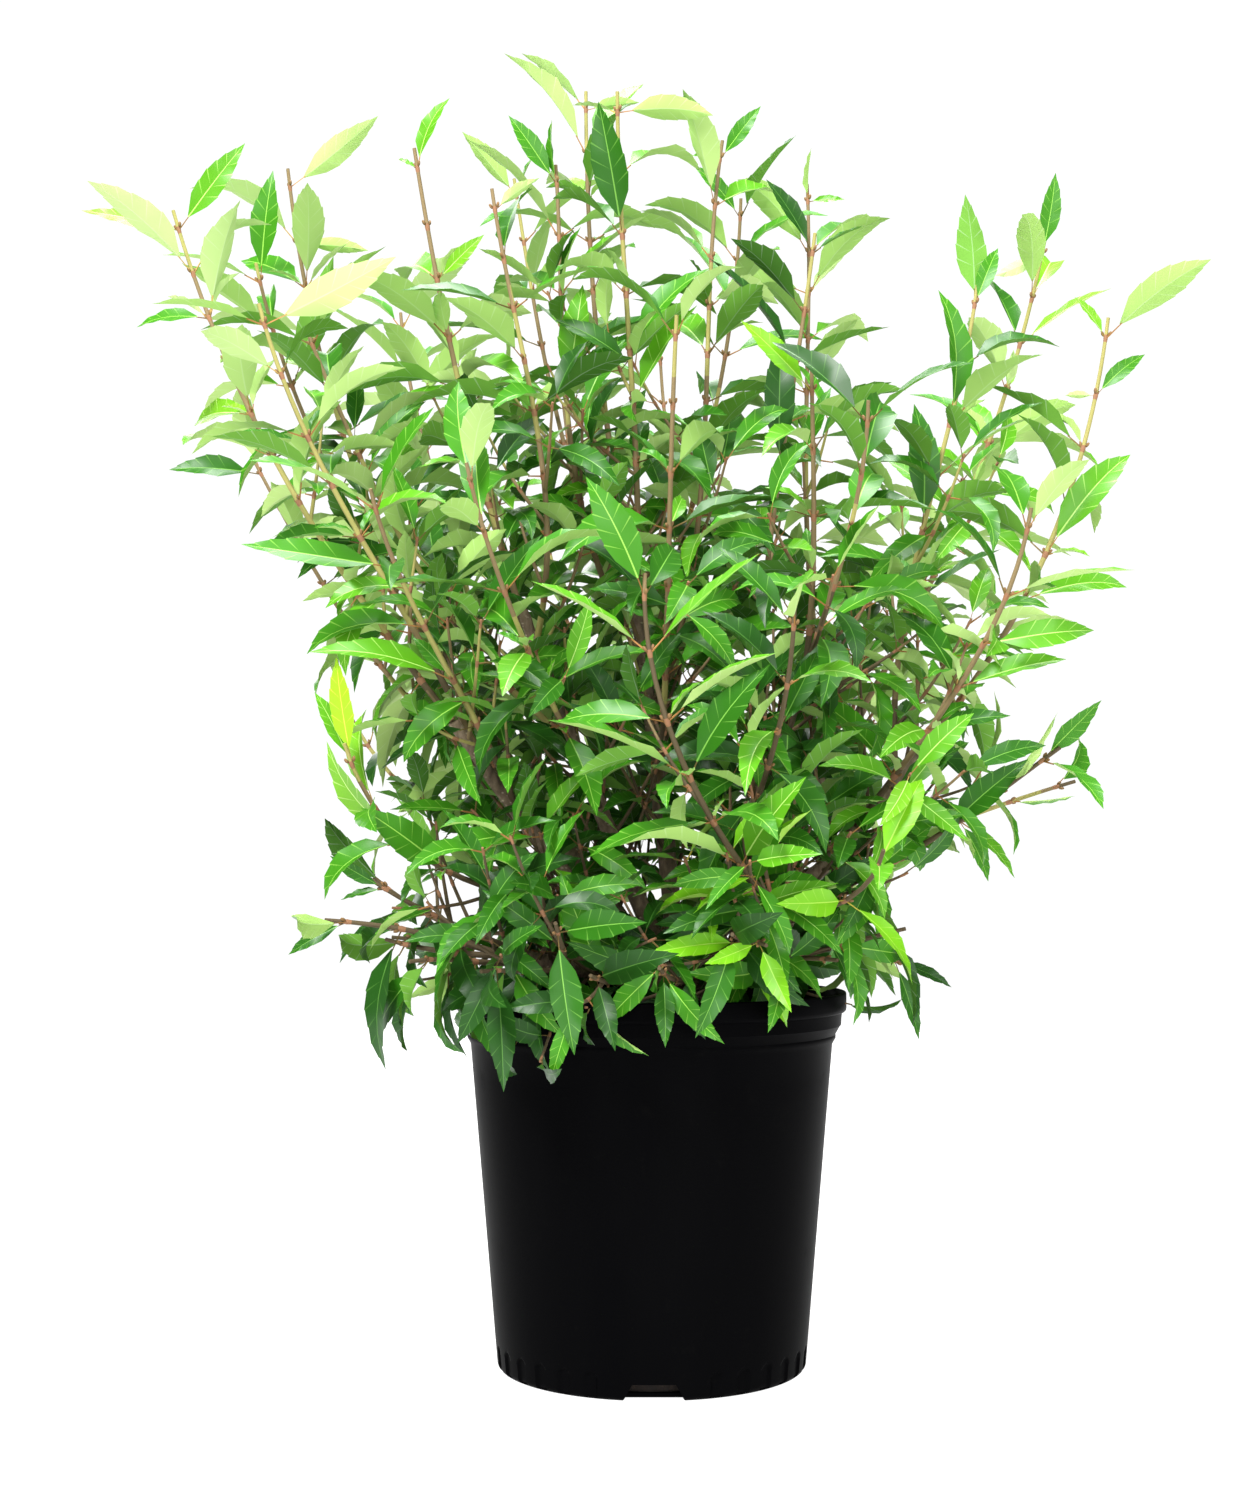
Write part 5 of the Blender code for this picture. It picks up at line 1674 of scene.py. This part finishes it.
@dataclass
class Crown:
    """Canes, twigs and leaves, grown on from the boughs by the solids' rule.

    A play is how far a value strays either way, or the range of its random share.
    """

    limbs: Limbs
    blade: LeafBlade = field(default_factory=LeafBlade)
    reach: Reach = field(default_factory=Reach)
    daylight: Daylight = field(default_factory=Daylight)
    stem_step: float = 0.012
    stem_stations: int = 8
    stem_foot: float = 0.0020
    stem_on_tip: float = 0.8
    stem_tip: float = 0.0011
    stem_bow: float = 0.010
    stem_handle: float = 0.34
    stem_seat: float = 0.3
    stem_seat_lean: float = 0.35
    twig_length: Range = (0.045, 0.085)
    twig_angle: Range = (math.radians(36), math.radians(60))
    twig_radii: Range = (0.0012, 0.0007)
    twig_stations: int = 7
    twig_rise: float = 0.30
    twig_leave: float = 0.35
    twig_arrive: Range = (0.35, 0.3)
    twig_spacing: float = 0.036
    twig_start: float = 0.03
    twig_top: float = 0.42
    rim_twig_top: float = 0.75
    twig_play: Range = (0.1, 0.9)
    twig_vigour: float = 0.74
    twig_tries: int = 5
    twig_share: float = 0.46
    spurs: int = 11
    spur_seed: int = 200
    spur_start: float = 0.14
    spur_span: float = 0.82
    spur_play: Range = (0.2, 0.8)
    spur_vigour: float = 0.86
    # Painted shade on the leaves of the spurs inside the crown, added to their light
    spur_shade: float = -0.1
    spur_more: float = 0.012
    mood_play: float = 0.12
    # Painted shade: how much darker the leaves on the rim's sprays are painted
    rim_shade: float = 0.42
    pair_spacing: float = 0.0325
    pair_play: Range = (0.85, 1.15)
    pair_turn_play: float = 0.45
    first_pair: float = 0.0120
    last_pair: float = 0.010
    twig_pairs: float = 0.0240
    twig_first_pair: float = 0.003
    small_leaf: float = 0.42
    small_leaf_play: Range = (0.7, 1.3)
    small_leaf_chance: float = 0.40
    small_leaf_start: float = 0.05
    small_leaf_turn: float = 0.5
    small_leaf_down: float = 0.05
    leaf_length: Range = (0.067, 0.083)
    leaf_growth: float = 0.007
    leaf_growth_rate: float = 1.5
    low_leaf: float = 0.80
    low_leaf_foot: float = 0.28
    low_leaf_span: float = 0.34
    leaf_width: Range = (0.220, 0.285)
    longest_leaf: float = 0.086
    turn_play: float = 0.35
    tip_angle: float = math.radians(34)
    foot_angle: float = math.radians(76)
    angle_play: float = 0.2
    opening: float = 1.4
    sag: float = 0.55
    low_sag: float = 0.95
    sag_height: float = 0.34
    sag_play: Range = (0.4, 1.3)
    face_lift: float = 0.5
    roll_play: float = 0.45
    aimed_droop: float = 0.6
    aimed_fold: float = 0.7
    aimed_twist: float = 0.5
    lime_sprays: tuple[str, ...] = ("shoot_front_low", "sprig_rim_near_right")
    lime_chance: float = 0.85
    tries: int = 9
    tip_slack: float = 1.15
    slack_down: float = 0.2
    slack_height: float = 0.50
    sprays: list[Spray] = field(default_factory=list)
    leaves: dict[Region, list[Leaf]] = field(default_factory=dict)

    def __post_init__(self) -> None:
        """Takes the coarse blade that stands for a leaf in tests."""
        self.sheet, self.sheet_faces = self.blade.sheet()

    def cane(self, shoot: Shoot, rng: random.Random) -> Course:
        """Lays out a cane.

        Args:
            shoot: The shoot.
            rng: The cane's random numbers.

        Returns:
            Its course, from its seat on the bough's tip or side to its own tip.
        """
        tip = Vector(shoot.tip)
        axis, along, radius = self.limbs.courses[shoot.bough].point(shoot.at)
        if shoot.at >= 1.0:
            seat = along
            foot = min(self.stem_foot, self.stem_on_tip * radius)
        else:
            chord = tip - axis
            seat = (chord - along * chord.dot(along)).normalized()
            foot = self.stem_foot
        start = axis + seat * self.stem_seat * radius
        chord = tip - start
        level, rise = Vector((chord.x, chord.y, 0.0)), Vector((0.0, 0.0, chord.z))
        spread_way = (level * shoot.spread + rise).normalized()
        leave_way = (spread_way + self.stem_seat_lean * seat).normalized()
        arrive_way = (level * shoot.arch + rise).normalized()
        side, up = across(chord.normalized())
        play = (-self.stem_bow, self.stem_bow)
        bow = side * rng.uniform(*play) + up * rng.uniform(*play)
        reach = self.stem_handle * chord.length
        handles = (start, start + leave_way * reach + bow, tip - arrive_way * reach + bow, tip)
        stations = max(self.stem_stations, 1 + round(chord.length / self.stem_step))
        return Course.cubic(handles, stations, foot, self.stem_tip)

    def side_twig(self, parent: Course, share: float, more: float, rng: random.Random) -> Course:
        """Lays out a side twig that leaves its parent at an angle and bends up a little.

        Args:
            parent: The course that carries it.
            share: Where along the parent it starts.
            more: How much longer it is than others.
            rng: The parent's random numbers.

        Returns:
            Its course.
        """
        turn, length = rng.uniform(0, math.tau), rng.uniform(*self.twig_length) + more
        axis, along, _ = parent.point(share)
        angle = rng.uniform(*self.twig_angle)
        way = along * math.cos(angle) + radial(along, turn) * math.sin(angle)
        tip = axis + (way + Vector((0, 0, self.twig_rise))).normalized() * length
        ahead, back = self.twig_arrive
        arrive = tip.lerp(axis + way * length, ahead).lerp(axis, back)
        handles = (axis, axis + way * self.twig_leave * length, arrive, tip)
        return Course.cubic(handles, self.twig_stations, *self.twig_radii)

    def add_twig(self, spray: Spray, share: float, more: float = 0.0) -> None:
        """Grows a side twig, unless it would leave the reach at every try.

        Args:
            spray: The new spray, with its parent's course, which becomes the twig's.
            share: Where along the parent it starts.
            more: How much longer it is than others.
        """
        for _ in range(self.twig_tries):
            twig = self.side_twig(spray.course, share, more, spray.rng)
            if self.reach.holds(np.array([twig.path[-1]]), self.twig_share):
                spray.course = twig
                self.sprays.append(spray)
                return

    def grow_cane(self, shoot: Shoot, rng: random.Random) -> None:
        """Lays out a cane and its side twigs.

        Args:
            shoot: The shoot.
            rng: The cane's random numbers.
        """
        course = self.cane(shoot, rng)
        region = Region.of(shoot.name)
        on_rim = region is Region.RIM
        # The spray's own tone, less painted shade for a spray on the rim
        tone_and_shade = rng.uniform(-self.mood_play, self.mood_play) - (self.rim_shade if on_rim else 0.0)
        size = shoot.leaf_size
        self.sprays.append(Spray(shoot.name, region, course, rng, 1.0, tone_and_shade, size))
        top = self.rim_twig_top if on_rim else self.twig_top
        count = round(top * course.length() / self.twig_spacing)
        for step in range(count):
            share = self.twig_start + top * (step + rng.uniform(*self.twig_play)) / count
            self.add_twig(Spray(shoot.name, region, course, rng, self.twig_vigour, tone_and_shade, size), share)

    def grow_wood(self) -> None:
        """Lays out every cane with its twigs, and the spurs on the boughs."""
        for index, shoot in enumerate(SHOOTS + SPRIGS):
            self.grow_cane(shoot, random.Random(SEED + index))
        for index, (name, course) in enumerate(self.limbs.courses.items()):
            rng = random.Random(SEED + self.spur_seed + index)
            for step in range(self.spurs):
                share = self.spur_start + self.spur_span * (step + rng.uniform(*self.spur_play)) / self.spurs
                # Spurs take the painted shade of the crown's inside
                spur = Spray(name, Region.of(name), course, rng, self.spur_vigour, self.spur_shade)
                self.add_twig(spur, share, self.spur_more)

    def lay_seats(self) -> None:
        """Places the pairs of leaves along each spray from its tip down, each a quarter turn on."""
        for spray in self.sprays:
            rng, main = spray.rng, spray.is_cane()
            length = spray.course.length()
            down = self.first_pair if main else self.twig_first_pair
            turn = math.pi / 4 + rng.uniform(-self.pair_turn_play, self.pair_turn_play)
            spacing = self.pair_spacing if main else self.twig_pairs
            while down < length - self.last_pair:
                point, along, _ = spray.course.point(1 - down / length)
                spray.course.buds.append(down)
                for side in (turn + 0.0, turn + math.pi):
                    spray.seats.append(Seat(point, along, side, down / length, spray.vigour))
                    if main and down > self.small_leaf_start and rng.random() < self.small_leaf_chance:
                        small = self.small_leaf * rng.uniform(*self.small_leaf_play)
                        beside = side + self.small_leaf_turn
                        spray.seats.append(Seat(point, along, beside, self.small_leaf_down, small))
                turn += math.pi / 2
                down += spacing * rng.uniform(*self.pair_play)

    def leaf_at(self, seat: Seat, rng: random.Random) -> Leaf:
        """Draws one leaf's form.

        Args:
            seat: Its place.
            rng: The spray's random numbers.

        Returns:
            The leaf.
        """
        along = seat.along
        outward = radial(along, seat.turn + rng.uniform(-self.turn_play, self.turn_play))
        opened = min(1.0, seat.down * self.opening)
        angle = self.tip_angle + (self.foot_angle - self.tip_angle) * opened
        angle += rng.uniform(-self.angle_play, self.angle_play)
        way = along * math.cos(angle) + outward * math.sin(angle)
        low = max(0.0, 1 - seat.point.z / self.sag_height)
        sag = (self.sag * (1 - abs(along.z)) + self.low_sag * low) * rng.uniform(*self.sag_play)
        way = (way - Vector((0, 0, sag))).normalized()
        face = along * math.sin(angle) - outward * math.cos(angle) + Vector((0, 0, self.face_lift))
        face = (face - way * face.dot(way)).normalized()
        face = Matrix.Rotation(rng.uniform(-self.roll_play, self.roll_play), 3, way) @ face
        growth = self.leaf_growth * min(1.0, self.leaf_growth_rate * seat.down)
        length = (rng.uniform(*self.leaf_length) + growth) * seat.vigour
        raised = float(smooth_step((seat.point.z - self.low_leaf_foot) / self.low_leaf_span))
        length *= self.low_leaf + (1 - self.low_leaf) * raised
        return Leaf(
            root=seat.point,
            way=way,
            face=face,
            length=length,
            width=rng.uniform(*self.leaf_width) * length,
            droop=rng.uniform(0.50, 1.80) * (0.70 + 0.30 * opened),
            fold=rng.uniform(0.15, 0.80),
            twist=rng.uniform(-0.8, 0.8),
            sway=rng.uniform(-0.09, 0.09),
            wave=rng.uniform(0.0006, 0.0022),
            phase=rng.uniform(0.0, math.tau),
        )

    def tint_at(self, spray: Spray, leaf: Leaf) -> Tint:
        """A leaf's tint, by its light except on the sprays of lime leaves."""
        if spray.name in self.lime_sprays and spray.rng.random() < self.lime_chance:
            return Tint.LIME
        return self.daylight.tint(leaf, spray.tone_and_shade, spray.rng)

    def aim(self, leaf: Leaf, accent: Accent) -> None:
        """Turns and sizes a leaf so that its tip comes to the accent's place.

        Args:
            leaf: The leaf, which is changed.
            accent: The accent.
        """
        chord = Vector(accent.tip) - leaf.root
        slim = leaf.width / leaf.length
        leaf.droop *= self.aimed_droop
        leaf.fold *= self.aimed_fold
        leaf.twist *= self.aimed_twist
        leaf.way = chord.normalized()
        face = leaf.face * (1 - abs(accent.show)) + Vector((0.0, -accent.show, 0.0))
        leaf.face = (face - leaf.way * face.dot(leaf.way)).normalized()
        end = Vector(self.blade.bend(self.sheet, [leaf])[0][-1]) - leaf.root
        turn = end.rotation_difference(chord)
        leaf.way.rotate(turn)
        leaf.face.rotate(turn)
        leaf.length = min(self.longest_leaf, leaf.length * chord.length / end.length)
        leaf.width = slim * leaf.length

    def settle(self, thicket: Thicket, spray: Spray, seat: Seat, accent: Accent | None = None) -> bool:
        """Tries forms of a leaf at a seat until one crosses nothing and stays within the reach.

        Args:
            thicket: What has grown so far.
            spray: The spray that carries the leaf.
            seat: Its place on the spray.
            accent: The place of its tip, if it has one.

        Returns:
            True where a leaf was placed.
        """
        low_tip = seat.down < self.slack_down and seat.point.z < self.slack_height
        slack = self.tip_slack if low_tip else 1.0
        for _ in range(self.tries):
            leaf = self.leaf_at(seat, spray.rng)
            leaf.length *= spray.leaf_size
            leaf.width *= spray.leaf_size
            if accent:
                self.aim(leaf, accent)
            points = self.blade.bend(self.sheet, [leaf])[0]
            if accent is None and not self.reach.holds(points, slack):
                continue
            tree = BVHTree.FromPolygons(points.tolist(), self.sheet_faces)
            if thicket.crosses(points, tree):
                continue
            thicket.add(points, tree)
            leaf.tint = accent.tint if accent and accent.tint else self.tint_at(spray, leaf)
            self.leaves[spray.region].append(leaf)
            return True
        return False

    def place_accent(self, thicket: Thicket, accent: Accent) -> None:
        """Places an accent's leaf at the seat of its pair that faces its tip.

        Args:
            thicket: What has grown so far.
            accent: The accent.
        """
        spray = next(spray for spray in self.sprays if spray.name == accent.shoot and spray.is_cane())
        seats = [seat for seat in spray.seats if seat.full()]
        down = sorted({seat.down for seat in seats})[accent.node]
        pair = [seat for seat in seats if seat.down == down]
        chord = Vector(accent.tip) - pair[0].point
        seat = max(pair, key=lambda seat: seat.outward().dot(chord))
        if self.settle(thicket, spray, seat, accent):
            spray.seats.remove(seat)
        else:
            LOG.info("no room for the accent %s %d", accent.shoot, accent.node)

    def deal_leaves(self, wood: BVHTree) -> None:
        """Places the accent leaves clear of the wood, then deals the others round the sprays in turn."""
        thicket = Thicket(wood)
        self.leaves = {region: [] for region in Region}
        for accent in ACCENTS:
            self.place_accent(thicket, accent)
        for turn in range(max(len(spray.seats) for spray in self.sprays)):
            for spray in self.sprays:
                if turn < len(spray.seats):
                    self.settle(thicket, spray, spray.seats[turn])


class CaneTone(Enum):
    """The tones of a cane's bark, in the order of its finishes."""

    BROWN = 0
    TAN = 1
    RED = 2
    OLIVE = 3
    CUT = 4


@dataclass
class Canes:
    """The wood of the crown: canes and twigs with swollen nodes, cut tips and small buds."""

    crown: Crown
    sides: int = 8
    node_swell: float = 1.22
    node_reach: float = 0.0024
    node_over: float = 0.8
    red_reach: float = 0.0034
    spacing: float = 0.011
    sharp: float = math.radians(50)
    old_age: float = 0.36
    olive_age: float = 0.40
    age_play: float = 0.16
    age_scale: float = 14.0
    olive_scale: float = 7.0
    olive_shift: Point = (3.0, 1.0, 0.0)
    bud_length: float = 0.0036
    bud_radius: float = 0.0010
    bud_out: float = 0.0021
    bud_up: float = 0.0026
    bud_lean: float = 0.45
    bud_sharp: float = math.radians(60)
    bud_finish: PlainFinish = PlainFinish("bud_brown", (0.210, 0.120, 0.050), 0.6, 0.2)
    finishes: tuple[PlainFinish, ...] = (
        PlainFinish("cane_brown", (0.100, 0.074, 0.042), 0.7, 0.12),
        PlainFinish("cane_tan", (0.205, 0.148, 0.074), 0.6, 0.12),
        PlainFinish("cane_red", (0.260, 0.130, 0.070), 0.6, 0.12),
        PlainFinish("cane_olive", (0.310, 0.280, 0.092), 0.55, 0.12),
        PlainFinish("cane_cut", (0.620, 0.530, 0.320), 0.8, 0.1),
    )

    def rings(self, course: Course) -> tuple[list[Vector], list[float]]:
        """Spaces out a limb's rings, closer at its nodes.

        Args:
            course: The limb's course.

        Returns:
            The stations and the radius at each, swollen at the nodes.
        """
        length = course.length()
        swells = ((-self.node_reach, 1.0), (0.0, self.node_swell), (self.node_over * self.node_reach, 1.0))
        marks = {0.0: 1.0, length: 1.0}
        for bud in course.buds:
            for offset, swell in swells:
                marks[length - bud + offset] = swell
        steps = max(2, round(length / self.spacing))
        for step in range(1, steps):
            place = length * step / steps
            if all(abs(place - mark) > self.node_reach for mark in marks):
                marks[place] = 1.0
        places = sorted(mark for mark in marks if 0.0 <= mark <= length)
        points = [course.point(place / length) for place in places]
        path = [point[0] for point in points]
        return path, [point[2] * marks[place] for point, place in zip(points, places)]

    def node_tree(self) -> KDTree:
        """A search tree of the places of all nodes."""
        spots = [seat.point for spray in self.crown.sprays for seat in spray.seats]
        tree = KDTree(len(spots))
        for index, spot in enumerate(spots):
            tree.insert(spot, index)
        tree.balance()
        return tree

    def tone(self, face: bpy.types.MeshPolygon, nodes: KDTree) -> CaneTone:
        """Chooses the tone of one face.

        Args:
            face: The face. Only a cut end has more than four corners.
            nodes: The search tree of the nodes.

        Returns:
            The tone.
        """
        spot = face.center
        if len(face.vertices) > 4:
            return CaneTone.CUT
        if nodes.find(spot)[2] < self.red_reach:
            return CaneTone.RED
        age = spot.z + noise.noise(spot * self.age_scale) * self.age_play
        if age > self.olive_age and noise.noise(spot * self.olive_scale + Vector(self.olive_shift)) > 0.0:
            return CaneTone.OLIVE
        return CaneTone.BROWN if age < self.old_age else CaneTone.TAN

    def mesh(self) -> bpy.types.Mesh:
        """Every cane and twig, coloured by age, and redder at its nodes."""
        tubes = Tubes("canes_and_twigs", self.sides)
        for spray in self.crown.sprays:
            tubes.add(*self.rings(spray.course))
        mesh = tubes.mesh()
        mesh.materials.clear()
        for finish in self.finishes:
            mesh.materials.append(finish.material())
        nodes = self.node_tree()
        slots = [self.tone(face, nodes).value for face in mesh.polygons]
        mesh.polygons.foreach_set("material_index", slots)
        mesh.shade_smooth()
        mesh.set_sharp_from_angle(angle=self.sharp)
        return mesh

    def bud_pattern(self) -> Pattern:
        """A small pointed bud."""
        bm = bmesh.new()
        bmesh.ops.create_uvsphere(bm, u_segments=5, v_segments=4, radius=1.0)
        bmesh.ops.scale(bm, verts=bm.verts, vec=(self.bud_radius, self.bud_radius, 0.5 * self.bud_length))
        return Pattern.of(bm)

    def buds(self) -> bpy.types.Object:
        """A bud on each side of every node."""
        pattern = self.bud_pattern()
        canes = filter(Spray.is_cane, self.crown.sprays)
        places = []
        for seat in (seat for spray in canes for seat in spray.seats if seat.full()):
            outward = seat.outward()
            way = (seat.along + self.bud_lean * outward).normalized()
            spin = way.to_track_quat("Z", "Y").to_matrix()
            spot = seat.point + outward * self.bud_out + seat.along * self.bud_up
            places.append([spin @ Vector(point) + spot for point in pattern.points])
        joined = JoinedMesh()
        joined.add(pattern, np.array(places), np.zeros(len(places), dtype=int))
        return joined.build("buds", [self.bud_finish.material()], self.bud_sharp)

    def build(self) -> list[bpy.types.Object]:
        """Makes the canes and their buds."""
        pieces = [linked("canes_and_twigs", self.mesh()), self.buds()]
        for piece in pieces:
            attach(piece, BODY)
        return pieces


@dataclass
class Foliage:
    """The leaves, joined by the side of the crown that they grow on."""

    crown: Crown
    sharp: float = math.radians(34)

    def build(self) -> list[bpy.types.Object]:
        """Makes one piece for each region, which stands for the region's shoots."""
        pattern = self.crown.blade.pattern()
        finishes = [tint.finish(part).material() for tint in Tint for part in Part]
        pieces = []
        for region, leaves in self.crown.leaves.items():
            joined = JoinedMesh()
            placed = self.crown.blade.bend(pattern.points, leaves)
            joined.add(pattern, placed, np.array([leaf.tint.slot(Part.UPPER) for leaf in leaves]))
            piece = joined.build(f"leaves_{region.value}", finishes, self.sharp)
            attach(piece, BODY)
            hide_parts(*(shoot.name for shoot in SHOOTS if Region.of(shoot.name) is region))
            pieces.append(piece)
            LOG.info("%s: %d leaves", piece.name, len(leaves))
        return pieces


@dataclass(frozen=True)
class Lamp:
    """A soft square light that looks at the crown."""

    name: str
    place: Point
    power: float
    size: float
    target: Point = (0.0, 0.0, 0.45)

    def build(self) -> None:
        """Adds the light."""
        light = bpy.data.lights.new(self.name, "AREA")
        light.energy = self.power
        light.size = self.size
        made = linked(self.name, light)
        made.location = self.place
        look = Vector(self.target) - Vector(self.place)
        made.rotation_euler = look.to_track_quat("-Z", "Y").to_euler()


@dataclass
class Studio:
    """A pale floor, soft lights, a white surround and the camera."""

    camera_place: Point = EYE
    camera_lift: float = math.radians(2.735)
    lens: float = 52.76
    sensor: float = 36.0
    surround: float = 0.13
    backdrop: float = 1.05
    floor_size: float = 6.0
    floor_colour: Colour = (0.30, 0.30, 0.30)
    floor_light: float = 0.96
    lamps: tuple[Lamp, ...] = (
        Lamp("key", (-1.1, -1.6, 2.3), 142.0, 0.9),
        Lamp("fill", (1.9, -1.0, 1.3), 30.0, 1.6),
        Lamp("front", (0.3, -2.6, 0.9), 38.0, 1.2),
        Lamp("top", (0.1, 0.2, 2.5), 74.0, 0.9),
        Lamp("rear", (-0.5, 2.2, 1.4), 36.0, 1.6),
    )

    def floor_finish(self) -> bpy.types.Material:
        """White that is as bright as the surround all over."""
        return Shading("floor_white").dress(
            Base_Color=(*self.floor_colour, 1.0),
            Roughness=0.9,
            Emission_Color=(1.0, 1.0, 1.0, 1.0),
            Emission_Strength=self.floor_light,
        )

    def floor(self) -> bpy.types.Object:
        """A wide pale floor."""
        bm = bmesh.new()
        bmesh.ops.create_grid(bm, x_segments=1, y_segments=1, size=0.5 * self.floor_size)
        mesh = mesh_of(bm, "floor")
        mesh.materials.append(self.floor_finish())
        made = linked("floor", mesh)
        return made

    def camera(self) -> None:
        """The photograph's viewpoint."""
        data = bpy.data.cameras.new("camera")
        data.sensor_width = self.sensor
        data.lens = self.lens
        made = linked("camera", data)
        made.location = self.camera_place
        made.rotation_euler = (math.pi / 2 + self.camera_lift, 0.0, 0.0)
        bpy.context.scene.camera = made

    def surroundings(self) -> None:
        """A white world that lights the part more softly than it looks."""
        world = bpy.data.worlds.new("surround")
        world.use_nodes = True
        tree = world.node_tree
        background = tree.nodes["Background"]
        background.inputs["Color"].default_value = (1.0, 1.0, 1.0, 1.0)
        rays = tree.nodes.new("ShaderNodeLightPath")
        strength = tree.nodes.new("ShaderNodeMapRange")
        strength.inputs["To Min"].default_value = self.surround
        strength.inputs["To Max"].default_value = self.backdrop
        tree.links.new(rays.outputs["Is Camera Ray"], strength.inputs["Value"])
        tree.links.new(strength.outputs["Result"], background.inputs["Strength"])
        bpy.context.scene.world = world

    def build(self) -> None:
        """Sets up the whole studio."""
        self.floor()
        self.camera()
        self.surroundings()
        for lamp in self.lamps:
            lamp.build()
        bpy.context.scene.view_settings.view_transform = "Standard"


def wood_tree(meshes: Iterable[bpy.types.Mesh]) -> BVHTree:
    """Joins several meshes for tests.

    Args:
        meshes: The meshes.

    Returns:
        One search tree of their faces.
    """
    points, faces = [], []
    for mesh in meshes:
        start = len(points)
        points += [vertex.co.copy() for vertex in mesh.vertices]
        faces += [tuple(start + index for index in face.vertices) for face in mesh.polygons]
    return BVHTree.FromPolygons(points, faces)


def write_sizes() -> None:
    """Brings the view layer up to date."""
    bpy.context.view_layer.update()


def main() -> None:
    """Builds the pot, its fill, the wood and the leaves, and reports each piece."""
    logging.basicConfig(level=logging.INFO, format="%(message)s")
    Studio().build()
    limbs = Limbs()
    pieces = [Pot().build(), *PottingMix().build(), limbs.build()]
    crown = Crown(limbs)
    crown.grow_wood()
    crown.lay_seats()
    canes = Canes(crown).build()
    nodes = [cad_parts[name] for name in ("pot", "potting_mix", "root_crown", *limbs.courses)]
    crown.deal_leaves(wood_tree([canes[0].data, *(node.data for node in nodes)]))
    pieces += canes + Foliage(crown).build()
    for piece in pieces:
        triangles = sum(len(face.vertices) - 2 for face in piece.data.polygons)
        LOG.info("%s: %d triangles", piece.name, triangles)
    write_sizes()


if __name__ == "__main__":
    main()
